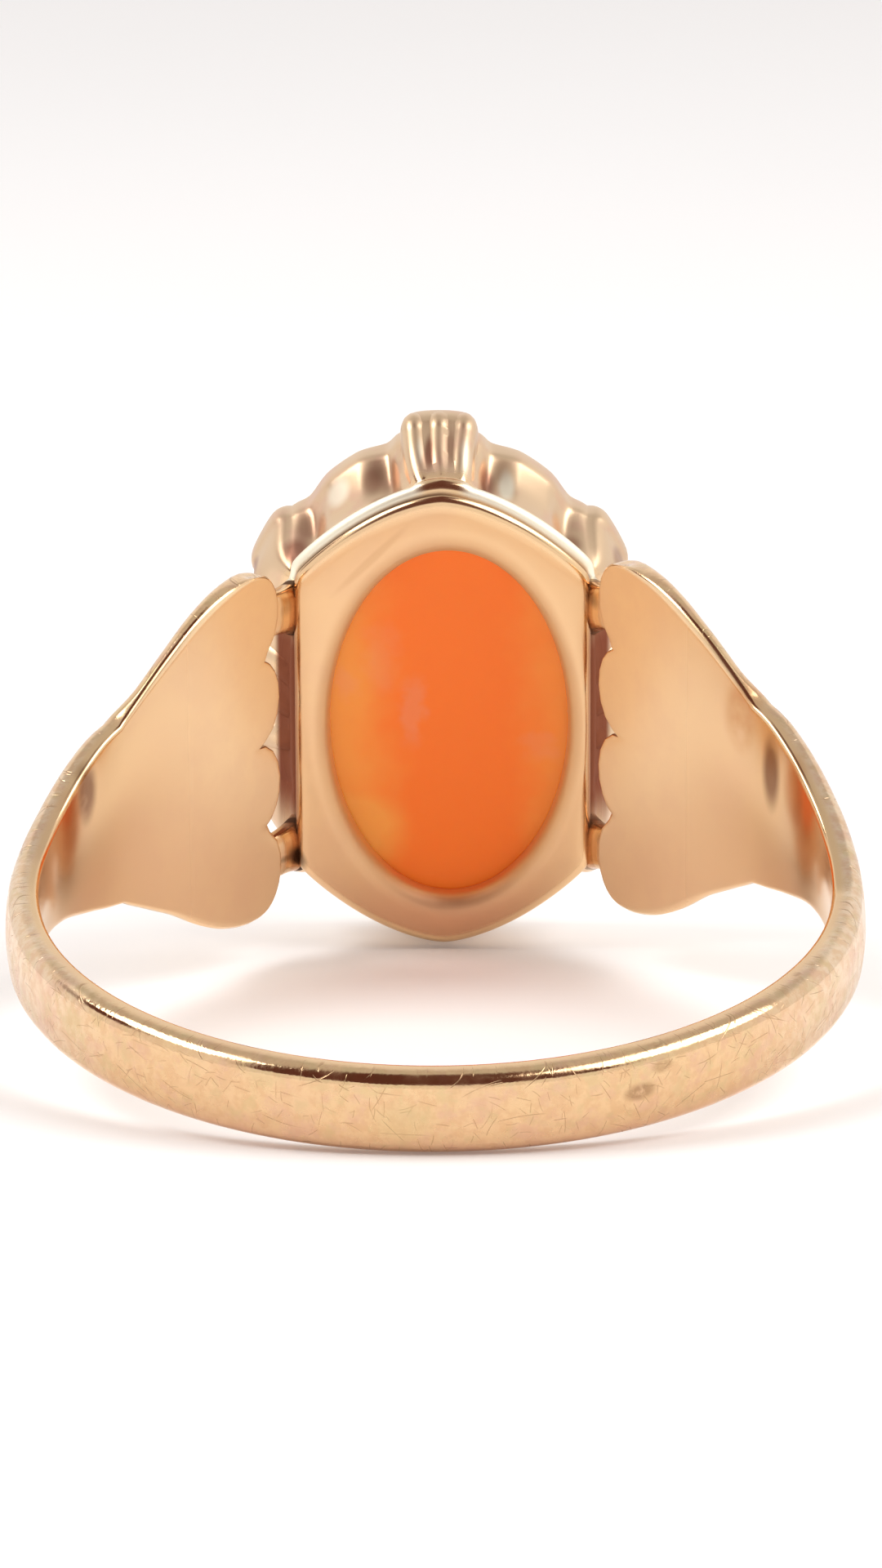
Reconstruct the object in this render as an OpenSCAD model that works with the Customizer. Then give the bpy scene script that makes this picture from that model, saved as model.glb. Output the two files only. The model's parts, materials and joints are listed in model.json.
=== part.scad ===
// Cameo ring, lying on its side. Millimetres. The origin is the centre of the finger hole.
// Before it is laid down the ring is drawn with the hole along Z and its head towards +Y.

/* [Band] */
// Inside diameter of the band, the finger hole
finger_d = 17.5; // [16.6:0.1:18.4]
// Thickness of the band at its back
band_t = 0.75; // [0.6:0.05:1]
// Width of the band at its back
band_w = 1.9; // [1.6:0.1:2.4]
// How much the outside of the band bulges at its middle
band_crown = 0.12; // [0.05:0.01:0.2]
// How far the edges of the sheet are rounded off
edge_round = 0.12; // [0.06:0.02:0.16]

/* [Shoulders] */
// Width of each shoulder at its widest
shoulder_w = 8.7; // [8:0.1:9]
// Thickness of the shoulders
shoulder_t = 0.75; // [0.6:0.05:0.9]
// Angle from the back of the band at which the shoulders leave the finger
leave_angle = 126; // [125:1:129]
// How far the shoulders turn outwards again on their way to the head
shoulder_bend = 5; // [2:1:8]
// Distance the lobes of the shoulders stop short of the head's back
shoulder_gap = 0.6; // [0.5:0.05:0.9]
// Depth of the notches between the lobes
notch_d = 0.85; // [0.5:0.05:1]
// Height by which wear has bent one shoulder up and the other down
shoulder_skew = 0.25; // [0:0.05:0.4]
// Height by which wear has bent both shoulders up
shoulder_rise = 0.45; // [0:0.05:0.5]
// Width of the four arms that run from the shoulders to the head
arm_w = 1.1; // [0.9:0.05:1.3]
// Thickness of those arms
arm_t = 0.6; // [0.5:0.05:0.75]
// Height of the arms' feet on the head above and below its middle
arm_foot_h = 3; // [2.8:0.1:3.3]
// How much lower than that the feet sit, as the shoulders stand a little high
arm_drop = 0.4; // [0.2:0.05:0.5]

/* [Head] */
// Distance from the finger hole to the back of the head
head_rise = 1.85; // [1.7:0.05:2.1]
// Depth of the head from its back to the rim of the bezel
head_d = 3.4; // [3.2:0.1:3.7]
// Width of the opening under the cameo
opening_w = 5.5; // [5.2:0.1:5.7]
// Height of the opening under the cameo
opening_h = 8.75; // [8.4:0.05:9]
// Width of the plate at the back of the head, across its straight sides
plate_w = 6.85; // [6.65:0.05:7.05]
// Height of the plate at the back of the head, point to point
plate_h = 11.4; // [11.2:0.1:11.6]
// How far the plate sits to one side of the stone, and below it
plate_side = 0.08; // [0:0.02:0.12]
plate_low = 0.1; // [0:0.02:0.15]
// How far the opening sits to one side of the stone, and below it
opening_side = 0.22; // [0:0.02:0.24]
opening_low = 0.25; // [0:0.05:0.3]
// Thickness of the plate
plate_t = 0.42; // [0.36:0.02:0.46]
// Thickness of the flange at the gallery's foot
flange_t = 0.34; // [0.26:0.02:0.4]
// Width of the bezel that holds the cameo
bezel_w = 9.3; // [9.1:0.1:9.8]
// Height of the bezel that holds the cameo
bezel_h = 12; // [11.8:0.1:12.4]
// Thickness of the bezel's wall
bezel_t = 0.4; // [0.35:0.05:0.5]
// Depth of the bezel
bezel_d = 0.75; // [0.65:0.05:0.85]
// Depth of the hollows between the claws
hollow_d = 0.25; // [0.1:0.05:0.3]

/* [Claws] */
// Width of the ribbed claws at the two ends
claw_w = 2.1; // [1.8:0.1:2.3]
// How far the ribbed claws stand out from the bezel
claw_out = 0.55; // [0.4:0.05:0.65]
// Width of the plain claws between the ends and the sides
plain_claw_w = 1.6; // [1.2:0.1:1.7]
// How far the plain claws stand out from the bezel
plain_claw_out = 0.3; // [0.2:0.05:0.4]
// Width of the ribbed claws beside the shoulders
side_claw_w = 4.4; // [3.8:0.1:4.6]
// How far the claws beside the shoulders stand out from the bezel
side_claw_out = 0.35; // [0.25:0.05:0.4]

/* [Cameo] */
// Radius of the cameo's domed front
dome_r = 26; // [22:1:34]
// Clearance between the cameo and its mount, and between its two layers
cameo_gap = 0.02; // [0.02:0.01:0.04]
// Diameter of the carved rose
rose_d = 5.2; // [4.6:0.1:5.4]
// Height of the carved rose above its ground
rose_h = 1.05; // [0.8:0.05:1.3]
// Height of the carved leaves above their ground
leaf_h = 0.32; // [0.24:0.04:0.4]

/* [Hidden] */

// The band is drawn a little into the finger hole, which is then bored true
bury = 0.2;
finger_r = finger_d/2;
path_r = finger_r - bury;

// Depths of the head
head_back = finger_r + head_rise;
flange_back = head_back + plate_t + 0.08;
flange_front = flange_back + flange_t;
seat = head_back + plate_t + 0.28;
rim = head_back + head_d;
girdle = rim - bezel_d;
dome_edge = rim - 0.14;

// The ring lies on the back edge of its band and on the lower claw of its head
rest_tilt = atan((bezel_h/2 + claw_out - band_w/2)
    /(finger_r + band_t - band_crown - edge_round + girdle));

function mix(a, b, t) = a + (b - a)*t;
function ease(x) = let(t = min(1, max(0, x))) t*t*(3 - 2*t);
// Value in a column of a table whose first column is the place
function table(rows, x, column, i = 0) = i >= len(rows) - 1 || x <= rows[i][0] ? rows[i][column]
    : x > rows[i + 1][0] ? table(rows, x, column, i + 1)
    : mix(rows[i][column], rows[i + 1][column], (x - rows[i][0])/(rows[i + 1][0] - rows[i][0]));

// Faces of the tube between loops of n points each
function tube_faces(n, loops, closed = false) = [for (i = [0:loops - (closed ? 1 : 2)]) for (j = [0:n - 1])
    let(k = (j + 1)%n, up = ((i + 1)%loops)*n)
    each [[i*n + j, i*n + k, up + k], [i*n + j, up + k, up + j]]];

// Solid through loops that close on themselves in both directions
module ring_solid(loops) {
    polyhedron([for (r = loops) each r], tube_faces(len(loops[0]), len(loops), true), convexity = 6);
}

// Solid through loops whose first and last are flat
module plug_solid(loops) {
    n = len(loops[0]);
    last = (len(loops) - 1)*n;
    polyhedron([for (r = loops) each r], concat(tube_faces(n, len(loops)),
        [[for (j = [n - 1:-1:0]) j]], [[for (j = [0:n - 1]) last + j]]), convexity = 4);
}

// Solid through loops that each run up one face of a sheet and down the other
module sheet_solid(loops) {
    n = len(loops[0]);
    last = (len(loops) - 1)*n;
    ends = [for (j = [0:n/2 - 2]) let(k = n - 1 - j)
        each [[j, k, k - 1], [j, k - 1, j + 1], [last + j, last + k - 1, last + k],
            [last + j, last + j + 1, last + k - 1]]];
    polyhedron([for (r = loops) each r], concat(tube_faces(n, len(loops)), ends), convexity = 6);
}

// The sheet's inner face follows the finger to leave_angle and then runs along the shoulder
round_l = path_r*leave_angle*PI/180;
end_angle = leave_angle - shoulder_bend;
bend_rad = shoulder_bend*PI/180;
leave_u = path_r*sin(leave_angle);
leave_v = -path_r*cos(leave_angle);
shoulder_l = (head_back - shoulder_gap - leave_v)*bend_rad/(cos(end_angle) - cos(leave_angle));

// Place on that path at a length from the back of the band: across, forward, heading
function path(s) = s <= round_l
    ? let(a = s/path_r*180/PI) [path_r*sin(a), -path_r*cos(a), a]
    : let(a = leave_angle - shoulder_bend*(s - round_l)/shoulder_l)
        [leave_u + shoulder_l/bend_rad*(sin(leave_angle) - sin(a)),
         leave_v + shoulder_l/bend_rad*(cos(a) - cos(leave_angle)), a];
// Share of the way: 0 at the back of the band, 1 where the shoulder starts and 2 at its end
function place(s) = s <= round_l ? s/round_l : 1 + (s - round_l)/shoulder_l;

// Width of the sheet: [place, share from 0 for the band's width to 1 for the shoulder's]
width_rows = [[0.6, 0], [0.77, 0.03], [0.85, 0.11], [0.93, 0.26], [0.98, 0.35], [1.13, 0.49],
    [1.34, 0.67], [1.56, 0.86], [1.71, 0.95], [1.83, 0.99], [1.9, 1], [2, 0.98]];
function half_width(p) = mix(band_w, shoulder_w, table(width_rows, p, 1))/2;
function thickness(p) = mix(band_t + bury, shoulder_t, ease((p - 0.95)/0.25));
// What wear has bent: [place, share of the rise, share of the skew]
bend_rows = [[0.7, 0, 0], [0.9, 0.7, 0.85], [1, 0.95, 1], [1.3, 1, 0.95], [1.5, 0.8, 0.8], [2, 0.15, 0.6]];
function bend(side, p) = shoulder_rise*table(bend_rows, p, 1) + side*shoulder_skew*table(bend_rows, p, 2);

// Length of the shoulder at a share of its half width: round lobes with notches between them
lobes = 4;
function reach(f) = let(x = f*lobes/2, y = 2*(x - floor(x + 0.001)) - 1)
    shoulder_l - notch_d*(1 - sqrt(max(0, 1 - y*y)));

// Columns of the sheet count from its middle and lie closest together in the notches
columns = 12;
function share(column) = let(x = column*lobes/(2*columns), whole = floor(x + 0.001))
    (whole + (1 - cos(180*(x - whole)))/2)*2/lobes;

// Corner of the sheet on one side of the ring
function sheet(side, s, column, outer) = let(f = share(column), p = place(s),
        at = path(min(s, round_l) + max(0, s - round_l)*reach(f)/shoulder_l),
        rounding = abs(column) == columns ? edge_round : 0,
        off = outer ? thickness(p) - band_crown*f*f - rounding : rounding > 0 ? rounding + bury : 0)
    [side*(at[0] + off*sin(at[2])), at[1] - off*cos(at[2]), f*half_width(p) + bend(side, p)];

round_steps = 24;
shoulder_steps = 9;
stations = concat([for (i = [0:round_steps]) round_l*i/round_steps],
    [for (i = [1:shoulder_steps]) round_l + shoulder_l*i/shoulder_steps]);

module band_and_shoulders() {
    loop = function(side, s) concat([for (j = [columns:-1:-columns]) sheet(side, s, j, false)],
        [for (j = [-columns:columns]) sheet(side, s, j, true)]);
    sheet_solid(concat([for (i = [len(stations) - 1:-1:1]) loop(-1, stations[i])],
        [for (s = stations) loop(1, s)]));
}

// Point of an oval: half width, half height, squareness, angle from its top, and the half width at
// which its sides are cut straight
uncut = 100;
function oval(hw, hh, square, a, cut = uncut) = let(u = hw*sign(sin(a))*pow(abs(sin(a)), 2/square))
    [max(-cut, min(cut, u)), hh*sign(cos(a))*pow(abs(cos(a)), 2/square)];

// Flat arm from a corner lobe of a shoulder to the head, spreading at both ends where it is soldered
arm_place = 0.75;
arm_sides = 12;
arm_spread = 0.3;
module arm(side, up) {
    s = round_l + arm_place*shoulder_l;
    column = up*arm_place*columns;
    lobe = (sheet(side, s, column, false) + sheet(side, s, column, true))/2;
    start = [side*lobe[0], lobe[1], up*lobe[2]];
    foot = [plate_w/2 - arm_t/6 + side*plate_side, head_back + plate_t + flange_t/2,
        arm_foot_h - up*arm_drop];
    scale([side, 1, up]) plug_solid([for (t = [0:0.25:1]) [for (k = [0:arm_sides - 1])
        let(q = oval(arm_t/2, arm_w/2*(1 + arm_spread*pow(2*t - 1, 2)), 3, -360*k/arm_sides))
            mix(start, foot, t) + [q[0], 0, q[1]]]]);
}

// Claws round the head: [angle from the top, ribbed, width, how far it stands out]
plain_claw_angle = 56.5;
plain_claw_row = function(a) [a, false, plain_claw_w, plain_claw_out];
claw_rows = [[0, true, claw_w, claw_out], plain_claw_row(plain_claw_angle),
    [90, true, side_claw_w, side_claw_out], plain_claw_row(180 - plain_claw_angle),
    [180, true, claw_w, claw_out], plain_claw_row(180 + plain_claw_angle),
    [270, true, side_claw_w, side_claw_out], plain_claw_row(360 - plain_claw_angle)];
function half_angle(row) = row[2]*360/(PI*(bezel_w + bezel_h));
function turn(a) = (a + 540)%360 - 180;
// How far the claws stand out at an angle: three ribs on a ribbed claw
function claw(a) = max([for (r = claw_rows) let(x = turn(a - r[0])/half_angle(r))
    abs(x) >= 1 ? 0 : r[3]*(1 - pow(x, 6))*(r[1] ? 0.88 + 0.12*cos(540*x) : 1)]);
// Share of the hollow at an angle: none beside a claw, all of it further off
hollow_run = 9;
function hollow(a) = let(clear = min([for (r = claw_rows) abs(turn(a - r[0])) - half_angle(r)]))
    ease(clear/hollow_run);
// Angles at which the head is drawn: close together on the claws and wide apart between them
ribbed_steps = [-1.02, -0.84, -0.67, -0.5, -0.33, -0.17, 0, 0.17, 0.33, 0.5, 0.67, 0.84, 1.02];
plain_steps = [-1.02, -0.8, -0.4, 0, 0.4, 0.8, 1.02];
between = 4;
head_angles = [for (i = [0:len(claw_rows) - 1]) let(r = claw_rows[i],
        next = claw_rows[(i + 1)%len(claw_rows)],
        start = r[0] + 1.02*half_angle(r),
        stop = next[0] + (next[0] < r[0] ? 360 : 0) - 1.02*half_angle(next))
    each concat([for (x = r[1] ? ribbed_steps : plain_steps) r[0] + x*half_angle(r)],
        [for (k = [1:between]) mix(start, stop, k/(between + 1))])];

// Plate: straight sides, and sloping flanks that meet in a rounded point at each end
side_w = plate_w/2;
tip = plate_h/2;
flank_w = 1.54*side_w;
flank = 1.6;
// Seat of the cameo
ledge = 0.45;
seat_w = opening_w/2 + ledge;
seat_h = opening_h/2 + ledge;
girdle_w = bezel_w/2 - bezel_t;
girdle_h = bezel_h/2 - bezel_t;
lean = 0.12;
opening_off = [opening_side, -opening_low];
plate_off = [plate_side, -plate_low];

// Section of the head, round from the back edge of the opening: [half width, half height, depth,
// squareness, half width of the cut, claw share, hollow share, how far it is off centre]
head_rows = [
    [opening_w/2, opening_h/2, head_back + 0.35, 2, uncut, 0, 0, opening_off],
    [opening_w/2 + 0.12, opening_h/2 + 0.15, head_back + 0.1, 1.98, uncut, 0, 0, opening_off],
    [opening_w/2 + 0.4, opening_h/2 + 0.4, head_back, 1.9, side_w - 0.2, 0, 0, opening_off],
    [flank_w - 0.12, tip - 0.15, head_back + 0.06, flank, side_w - 0.06, 0, 0, plate_off],
    [flank_w, tip, head_back + 0.22, flank, side_w, 0, 0, plate_off],
    [flank_w - 0.3, tip - 0.25, head_back + plate_t, flank, side_w - 0.18, 0, 0, plate_off],
    [flank_w, tip - 0.02, flange_back, flank, side_w + 0.02, 0, 0, plate_off],
    [flank_w + 0.05, tip + 0.05, flange_back + flange_t/2, flank, side_w + 0.06, 0.1, 0, plate_off],
    [flank_w - 0.1, tip - 0.1, flange_front, flank, side_w, 0.3, 0, plate_off],
    [mix(flank_w, bezel_w/2, 0.7), bezel_h/2 - 0.38, mix(flange_front, girdle, 0.26), 1.8,
        side_w + 0.3, 0.6, 0.7, plate_off/2],
    [mix(flank_w, bezel_w/2, 0.9), bezel_h/2 - 0.3, mix(flange_front, girdle, 0.55), 1.9,
        side_w + 0.75, 0.85, 1, [0, 0]],
    [bezel_w/2 - 0.08, bezel_h/2 - 0.08, girdle - 0.2, 2, uncut, 0.95, 0.7, [0, 0]],
    [bezel_w/2, bezel_h/2, girdle, 2, uncut, 1, 0.5, [0, 0]],
    [bezel_w/2, bezel_h/2, rim - 0.3, 2, uncut, 1, 0.5, [0, 0]],
    [bezel_w/2 - 0.1, bezel_h/2 - 0.1, rim, 2, uncut, 0.8, 0.3, [0, 0]],
    [girdle_w - 0.1, girdle_h - 0.1, rim, 2, uncut, 0, 0, [0, 0]],
    [girdle_w - lean, girdle_h - lean, rim - 0.08, 2, uncut, 0, 0, [0, 0]],
    [girdle_w + cameo_gap, girdle_h + cameo_gap, dome_edge + cameo_gap, 2, uncut, 0, 0, [0, 0]],
    [girdle_w + cameo_gap, girdle_h + cameo_gap, girdle - cameo_gap, 2, uncut, 0, 0, [0, 0]],
    [seat_w + cameo_gap, seat_h + cameo_gap, seat + ledge, 2, uncut, 0, 0, [0, 0]],
    [seat_w + cameo_gap, seat_h + cameo_gap, seat, 2, uncut, 0, 0, [0, 0]],
    [opening_w/2, opening_h/2, seat, 2, uncut, 0, 0, opening_off]];

function head_point(row, a) = let(p = oval(row[0], row[1], row[3], a, row[4]),
        facing = [p[0]/pow(row[0], 2), p[1]/pow(row[1], 2)],
        q = p + row[7] + (row[5]*claw(a) - row[6]*hollow_d*hollow(a))*facing/norm(facing))
    [q[0], row[2], q[1]];

module head() {
    ring_solid([for (a = head_angles) [for (row = head_rows) head_point(row, a)]]);
}

module ring_mount() {
    color("goldenrod") rotate([rest_tilt, 0, 0]) difference() {
        union() {
            band_and_shoulders();
            head();
            for (side = [-1, 1], up = [-1, 1]) arm(side, up);
        }
        cylinder(r = finger_r, h = shoulder_w + 4, center = true, $fn = 96);
    }
}

// The cameo is drawn as seen from its front: X to the right, Y up and Z towards the viewer
module facing() {
    rotate([rest_tilt, 0, 0]) rotate([90, 0, 180]) children();
}
dome_centre = dome_edge - sqrt(dome_r*dome_r - girdle_w*girdle_w);
dome_top = dome_centre + dome_r;
module dome(above = 0) {
    translate([0, 0, dome_centre]) sphere(r = dome_r + above, $fn = 96);
}

// Section of the cameo: [half width, half height, depth]
ground_rows = [[seat_w, seat_h, seat + cameo_gap], [seat_w, seat_h, seat + ledge],
    [girdle_w, girdle_h, girdle], [girdle_w, girdle_h, dome_top + 1]];
ground_steps = 72;

module cameo_ground() {
    color("orangered") facing() intersection() {
        plug_solid([for (row = ground_rows) [for (k = [0:ground_steps - 1])
            let(p = oval(row[0], row[1], 2, 360*k/ground_steps)) [p[0], p[1], row[2]]]]);
        dome();
    }
}

// Petals from the outside in: [count, distance, radius, height, first angle], lengths as shares of
// the rose's radius and heights as shares of its height
petal_rows = [[5, 0.56, 0.44, 0.52, 18], [5, 0.33, 0.35, 0.76, 54], [3, 0.16, 0.24, 0.92, 10],
    [1, 0, 0.16, 1, 0]];
// Leaves: [angle, distance of the foot, length, width], lengths as shares of the rose's radius
leaf_rows = [[90, 0.6, 1.2, 0.56], [50, 0.6, 1.05, 0.5], [130, 0.6, 1.05, 0.5], [0, 0.6, 0.8, 0.42],
    [270, 0.6, 1.2, 0.56], [310, 0.6, 1.05, 0.5], [230, 0.6, 1.05, 0.5], [180, 0.6, 0.8, 0.42]];

// Round petal that rises from the dome like the cap of a ball
module petal(radius, height) {
    ball = (radius*radius + height*height)/(2*height);
    translate([0, 0, dome_top + height - ball]) sphere(r = ball, $fn = 48);
}

// Upright wall with the outline of a pointed leaf along X, its foot at the origin
module leaf(length, width) {
    bow = (length*length + width*width)/(4*width);
    translate([length/2, 0, dome_top]) intersection_for(side = [-1, 1])
        translate([0, side*(bow - width/2), 0]) cylinder(r = bow, h = 4*rose_h, center = true, $fn = 64);
}

module cameo_rose() {
    rose_r = rose_d/2;
    color("ivory") facing() difference() {
        union() {
            for (r = petal_rows, k = [0:r[0] - 1]) rotate(r[4] + 360*k/r[0])
                translate([r[1]*rose_r, 0, 0]) petal(r[2]*rose_r, r[3]*rose_h);
            intersection() {
                for (r = leaf_rows) rotate(r[0]) translate([r[1]*rose_r, 0, 0])
                    leaf(r[2]*rose_r, r[3]*rose_r);
                dome(leaf_h);
            }
        }
        dome(cameo_gap);
    }
}

ring_mount();
cameo_ground();
cameo_rose();
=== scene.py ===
import json
import math
import bmesh
import bpy
from mathutils import Matrix, Vector
from mathutils.bvhtree import BVHTree


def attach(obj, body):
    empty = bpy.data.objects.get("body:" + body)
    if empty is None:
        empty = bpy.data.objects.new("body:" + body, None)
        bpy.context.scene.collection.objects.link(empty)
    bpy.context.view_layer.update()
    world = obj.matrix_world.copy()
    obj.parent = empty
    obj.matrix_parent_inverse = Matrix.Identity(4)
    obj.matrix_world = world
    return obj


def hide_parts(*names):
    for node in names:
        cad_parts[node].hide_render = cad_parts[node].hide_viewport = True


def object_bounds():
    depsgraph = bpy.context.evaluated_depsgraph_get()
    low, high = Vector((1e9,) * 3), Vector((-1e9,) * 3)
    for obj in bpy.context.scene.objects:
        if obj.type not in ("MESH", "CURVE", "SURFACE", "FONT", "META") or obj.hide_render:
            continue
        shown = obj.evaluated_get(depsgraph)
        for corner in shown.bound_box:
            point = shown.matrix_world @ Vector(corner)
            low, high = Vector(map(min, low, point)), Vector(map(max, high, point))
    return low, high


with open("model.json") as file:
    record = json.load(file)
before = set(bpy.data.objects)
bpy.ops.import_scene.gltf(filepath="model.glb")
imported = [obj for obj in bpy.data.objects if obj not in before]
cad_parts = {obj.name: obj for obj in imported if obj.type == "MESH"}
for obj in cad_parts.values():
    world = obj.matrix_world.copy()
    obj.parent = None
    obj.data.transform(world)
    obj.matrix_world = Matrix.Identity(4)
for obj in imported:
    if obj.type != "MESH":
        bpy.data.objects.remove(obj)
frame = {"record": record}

cadBox = [list(corner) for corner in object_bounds()]
print("frame loaded")

bore = frame["record"]["mounts"][0]
fingerRadius = bore["dims"]["r_mm"]
restTilt = math.atan2(-bore["axis"][1], bore["axis"][2])
millimetre = 0.001
toWorld = Matrix.Rotation(restTilt, 4, "X") @ Matrix.Scale(millimetre, 4)
# As drawn from the front of the head: X right, Y up, Z out of the stone
headOn = Matrix(((-1, 0, 0, 0), (0, 0, 1, 0), (0, 1, 0, 0), (0, 0, 0, 1)))


def mix(a, b, t):
    return a + (b - a) * t


def ease(x):
    t = min(1, max(0, x))
    return t * t * (3 - 2 * t)


def softMax(x, soft):
    return (x + math.sqrt(x * x + soft * soft)) / 2


# Smooth curve through a table's rows, whose first column is the place
def readTable(rows, x, column=1):
    if x <= rows[0][0]:
        return rows[0][column]
    if x >= rows[-1][0]:
        return rows[-1][column]
    i = max(k for k in range(len(rows) - 1) if rows[k][0] <= x)
    slopes = [(rows[k + 1][column] - rows[k][column]) / (rows[k + 1][0] - rows[k][0])
              for k in range(len(rows) - 1)]

    def tangent(k):
        if k == 0 or k == len(rows) - 1:
            return slopes[min(k, len(slopes) - 1)]
        a, b = slopes[k - 1], slopes[k]
        return 0 if a * b <= 0 else 2 * a * b / (a + b)

    run = rows[i + 1][0] - rows[i][0]
    t = (x - rows[i][0]) / run
    return (rows[i][column] * (2 * t ** 3 - 3 * t * t + 1) + rows[i + 1][column] * (3 * t * t - 2 * t ** 3)
            + run * tangent(i) * (t ** 3 - 2 * t * t + t) + run * tangent(i + 1) * (t ** 3 - t * t))


def addObject(name, data):
    item = bpy.data.objects.new(name, data)
    bpy.context.scene.collection.objects.link(item)
    return item


def makePiece(name, points, faces, place=toWorld):
    mesh = bpy.data.meshes.new(name)
    mesh.from_pydata([place @ Vector(p) for p in points], [], faces)
    mesh.validate()
    return addObject(name, mesh)


# Faces between loops of the same number of points; joined shuts the row of loops on itself
def loopFaces(loops, count, joined):
    faces = []
    for i in range(loops - (0 if joined else 1)):
        a, b = i * count, (i + 1) % loops * count
        faces += [(a + j, a + (j + 1) % count, b + (j + 1) % count, b + j) for j in range(count)]
    return faces


# Turns the faces of a closed piece outwards
def faceOutwards(piece):
    work = bmesh.new()
    work.from_mesh(piece.data)
    bmesh.ops.remove_doubles(work, verts=work.verts, dist=1e-8)
    bmesh.ops.recalc_face_normals(work, faces=work.faces)
    if work.calc_volume(signed=True) < 0:
        bmesh.ops.reverse_faces(work, faces=work.faces)
    work.to_mesh(piece.data)
    work.free()
    return piece


# Keeps what its modifiers make of a piece as its plain mesh
def keepResult(piece):
    depsgraph = bpy.context.evaluated_depsgraph_get()
    result = bpy.data.meshes.new_from_object(piece.evaluated_get(depsgraph), depsgraph=depsgraph)
    piece.modifiers.clear()
    piece.data = result


# Runs a Geometry Nodes tree on a piece
def bake(piece, tree, values):
    modifier = piece.modifiers.new(tree.name, "NODES")
    modifier.node_group = tree
    for item in tree.interface.items_tree:
        if item.item_type == "SOCKET" and item.in_out == "INPUT" and item.name in values:
            modifier[item.identifier] = values[item.name]
    keepResult(piece)
    return piece


# Joins another piece to a piece, and takes the other away
def solder(piece, other):
    modifier = piece.modifiers.new("join", "BOOLEAN")
    modifier.operation = "UNION"
    modifier.object = other
    modifier.solver = "MANIFOLD"
    keepResult(piece)
    bpy.data.objects.remove(other)


# Gives a mesh its material and smooth shading, with sharp edges above an angle in degrees
def dress(mesh, material, sharpAngle):
    mesh.materials.clear()
    mesh.materials.append(material)
    mesh.shade_smooth()
    mesh.set_sharp_from_angle(angle=math.radians(sharpAngle))


# Node helpers for every kind of tree
class Nodes:
    def __init__(self, tree):
        self.tree = tree

    def add(self, kind, **settings):
        node = self.tree.nodes.new(kind)
        for key, value in settings.items():
            setattr(node, key, value)
        return node

    def link(self, a, b):
        self.tree.links.new(a, b)

    # Links an output to an input, or sets the input to a plain value
    def feed(self, socket, value):
        if hasattr(value, "is_linked"):
            self.link(value, socket)
        else:
            socket.default_value = value

    # First output of a new node whose inputs are fed by their names
    def made(self, kind, inputs, **settings):
        node = self.add(kind, **settings)
        for key, value in inputs.items():
            self.feed(node.inputs[key], value)
        return node.outputs[0]

    def math(self, operation, a, b=0.0, c=0.0):
        node = self.add("ShaderNodeMath", operation=operation)
        for socket, value in zip(node.inputs, (a, b, c)):
            self.feed(socket, value)
        return node.outputs[0]

    def times(self, a, b):
        return self.math("MULTIPLY", a, b)

    def plus(self, a, b):
        return self.math("ADD", a, b)

    def mapped(self, source, turn=(0, 0, 0), scale=(1, 1, 1), shift=(0, 0, 0)):
        return self.made("ShaderNodeMapping",
                         {"Vector": source, "Rotation": turn, "Scale": scale, "Location": shift})

    def noise(self, source, scale, detail=3.0, rough=0.55):
        return self.made("ShaderNodeTexNoise",
                         {"Vector": source, "Scale": scale, "Detail": detail, "Roughness": rough})

    # From outLow to outHigh while the value goes from low to high, which may lie below low
    def ramp(self, value, low, high, outLow=0.0, outHigh=1.0):
        return self.made("ShaderNodeMapRange", {
            "Value": value, "From Min": low, "From Max": high, "To Min": outLow, "To Max": outHigh},
            interpolation_type="SMOOTHSTEP")

    def blend(self, share, a, b):
        node = self.add("ShaderNodeMix", data_type="RGBA")
        self.feed(node.inputs["Factor"], share)
        self.feed(node.inputs[6], a)
        self.feed(node.inputs[7], b)
        return node.outputs[2]

    def bump(self, height, strength, distance):
        return self.made("ShaderNodeBump", {"Strength": strength, "Distance": distance, "Height": height})

    def split(self, vector):
        node = self.add("ShaderNodeSeparateXYZ")
        self.link(vector, node.inputs[0])
        return node.outputs

    def vector(self, operation, a, b):
        node = self.add("ShaderNodeVectorMath", operation=operation)
        self.feed(node.inputs[0], a)
        self.feed(node.inputs[1], b)
        return node.outputs["Value"] if operation in ("DOT_PRODUCT", "LENGTH") else node.outputs[0]

    # One between two values, fading to nothing on both sides
    def within(self, value, low, high, fade):
        return self.times(self.ramp(value, low - fade, low), self.ramp(value, high, high + fade, 1, 0))

    # One where the place is within the radii of a point, fading to nothing. Sizes in millimetres, and
    # lean is how far the spot's long side climbs to the right, in degrees
    def spot(self, place, centre, radii, lean=0):
        moved = self.mapped(place, shift=[-c for c in centre])
        if lean:
            moved = self.mapped(moved, turn=(0, math.radians(lean), 0))
        moved = self.mapped(moved, scale=[1 / r for r in radii])
        return self.ramp(self.vector("LENGTH", moved, (0, 0, 0)), 0.35, 1, 1, 0)


# Geometry Nodes tree with named inputs, whose values are in given
class Shaping(Nodes):
    def __init__(self, name, sockets):
        super().__init__(bpy.data.node_groups.new(name, "GeometryNodeTree"))
        for socket, kind in sockets.items():
            self.tree.interface.new_socket(socket, in_out="INPUT", socket_type="NodeSocket" + kind)
        self.tree.interface.new_socket("Geometry", in_out="OUTPUT", socket_type="NodeSocketGeometry")
        self.given = self.add("NodeGroupInput").outputs

    # Ends the tree with the material and returns it
    def close(self, geometry):
        painted = self.made("GeometryNodeSetMaterial",
                            {"Geometry": geometry, "Material": self.given["Material"]})
        self.link(painted, self.add("NodeGroupOutput").inputs[0])
        return self.tree


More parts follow.
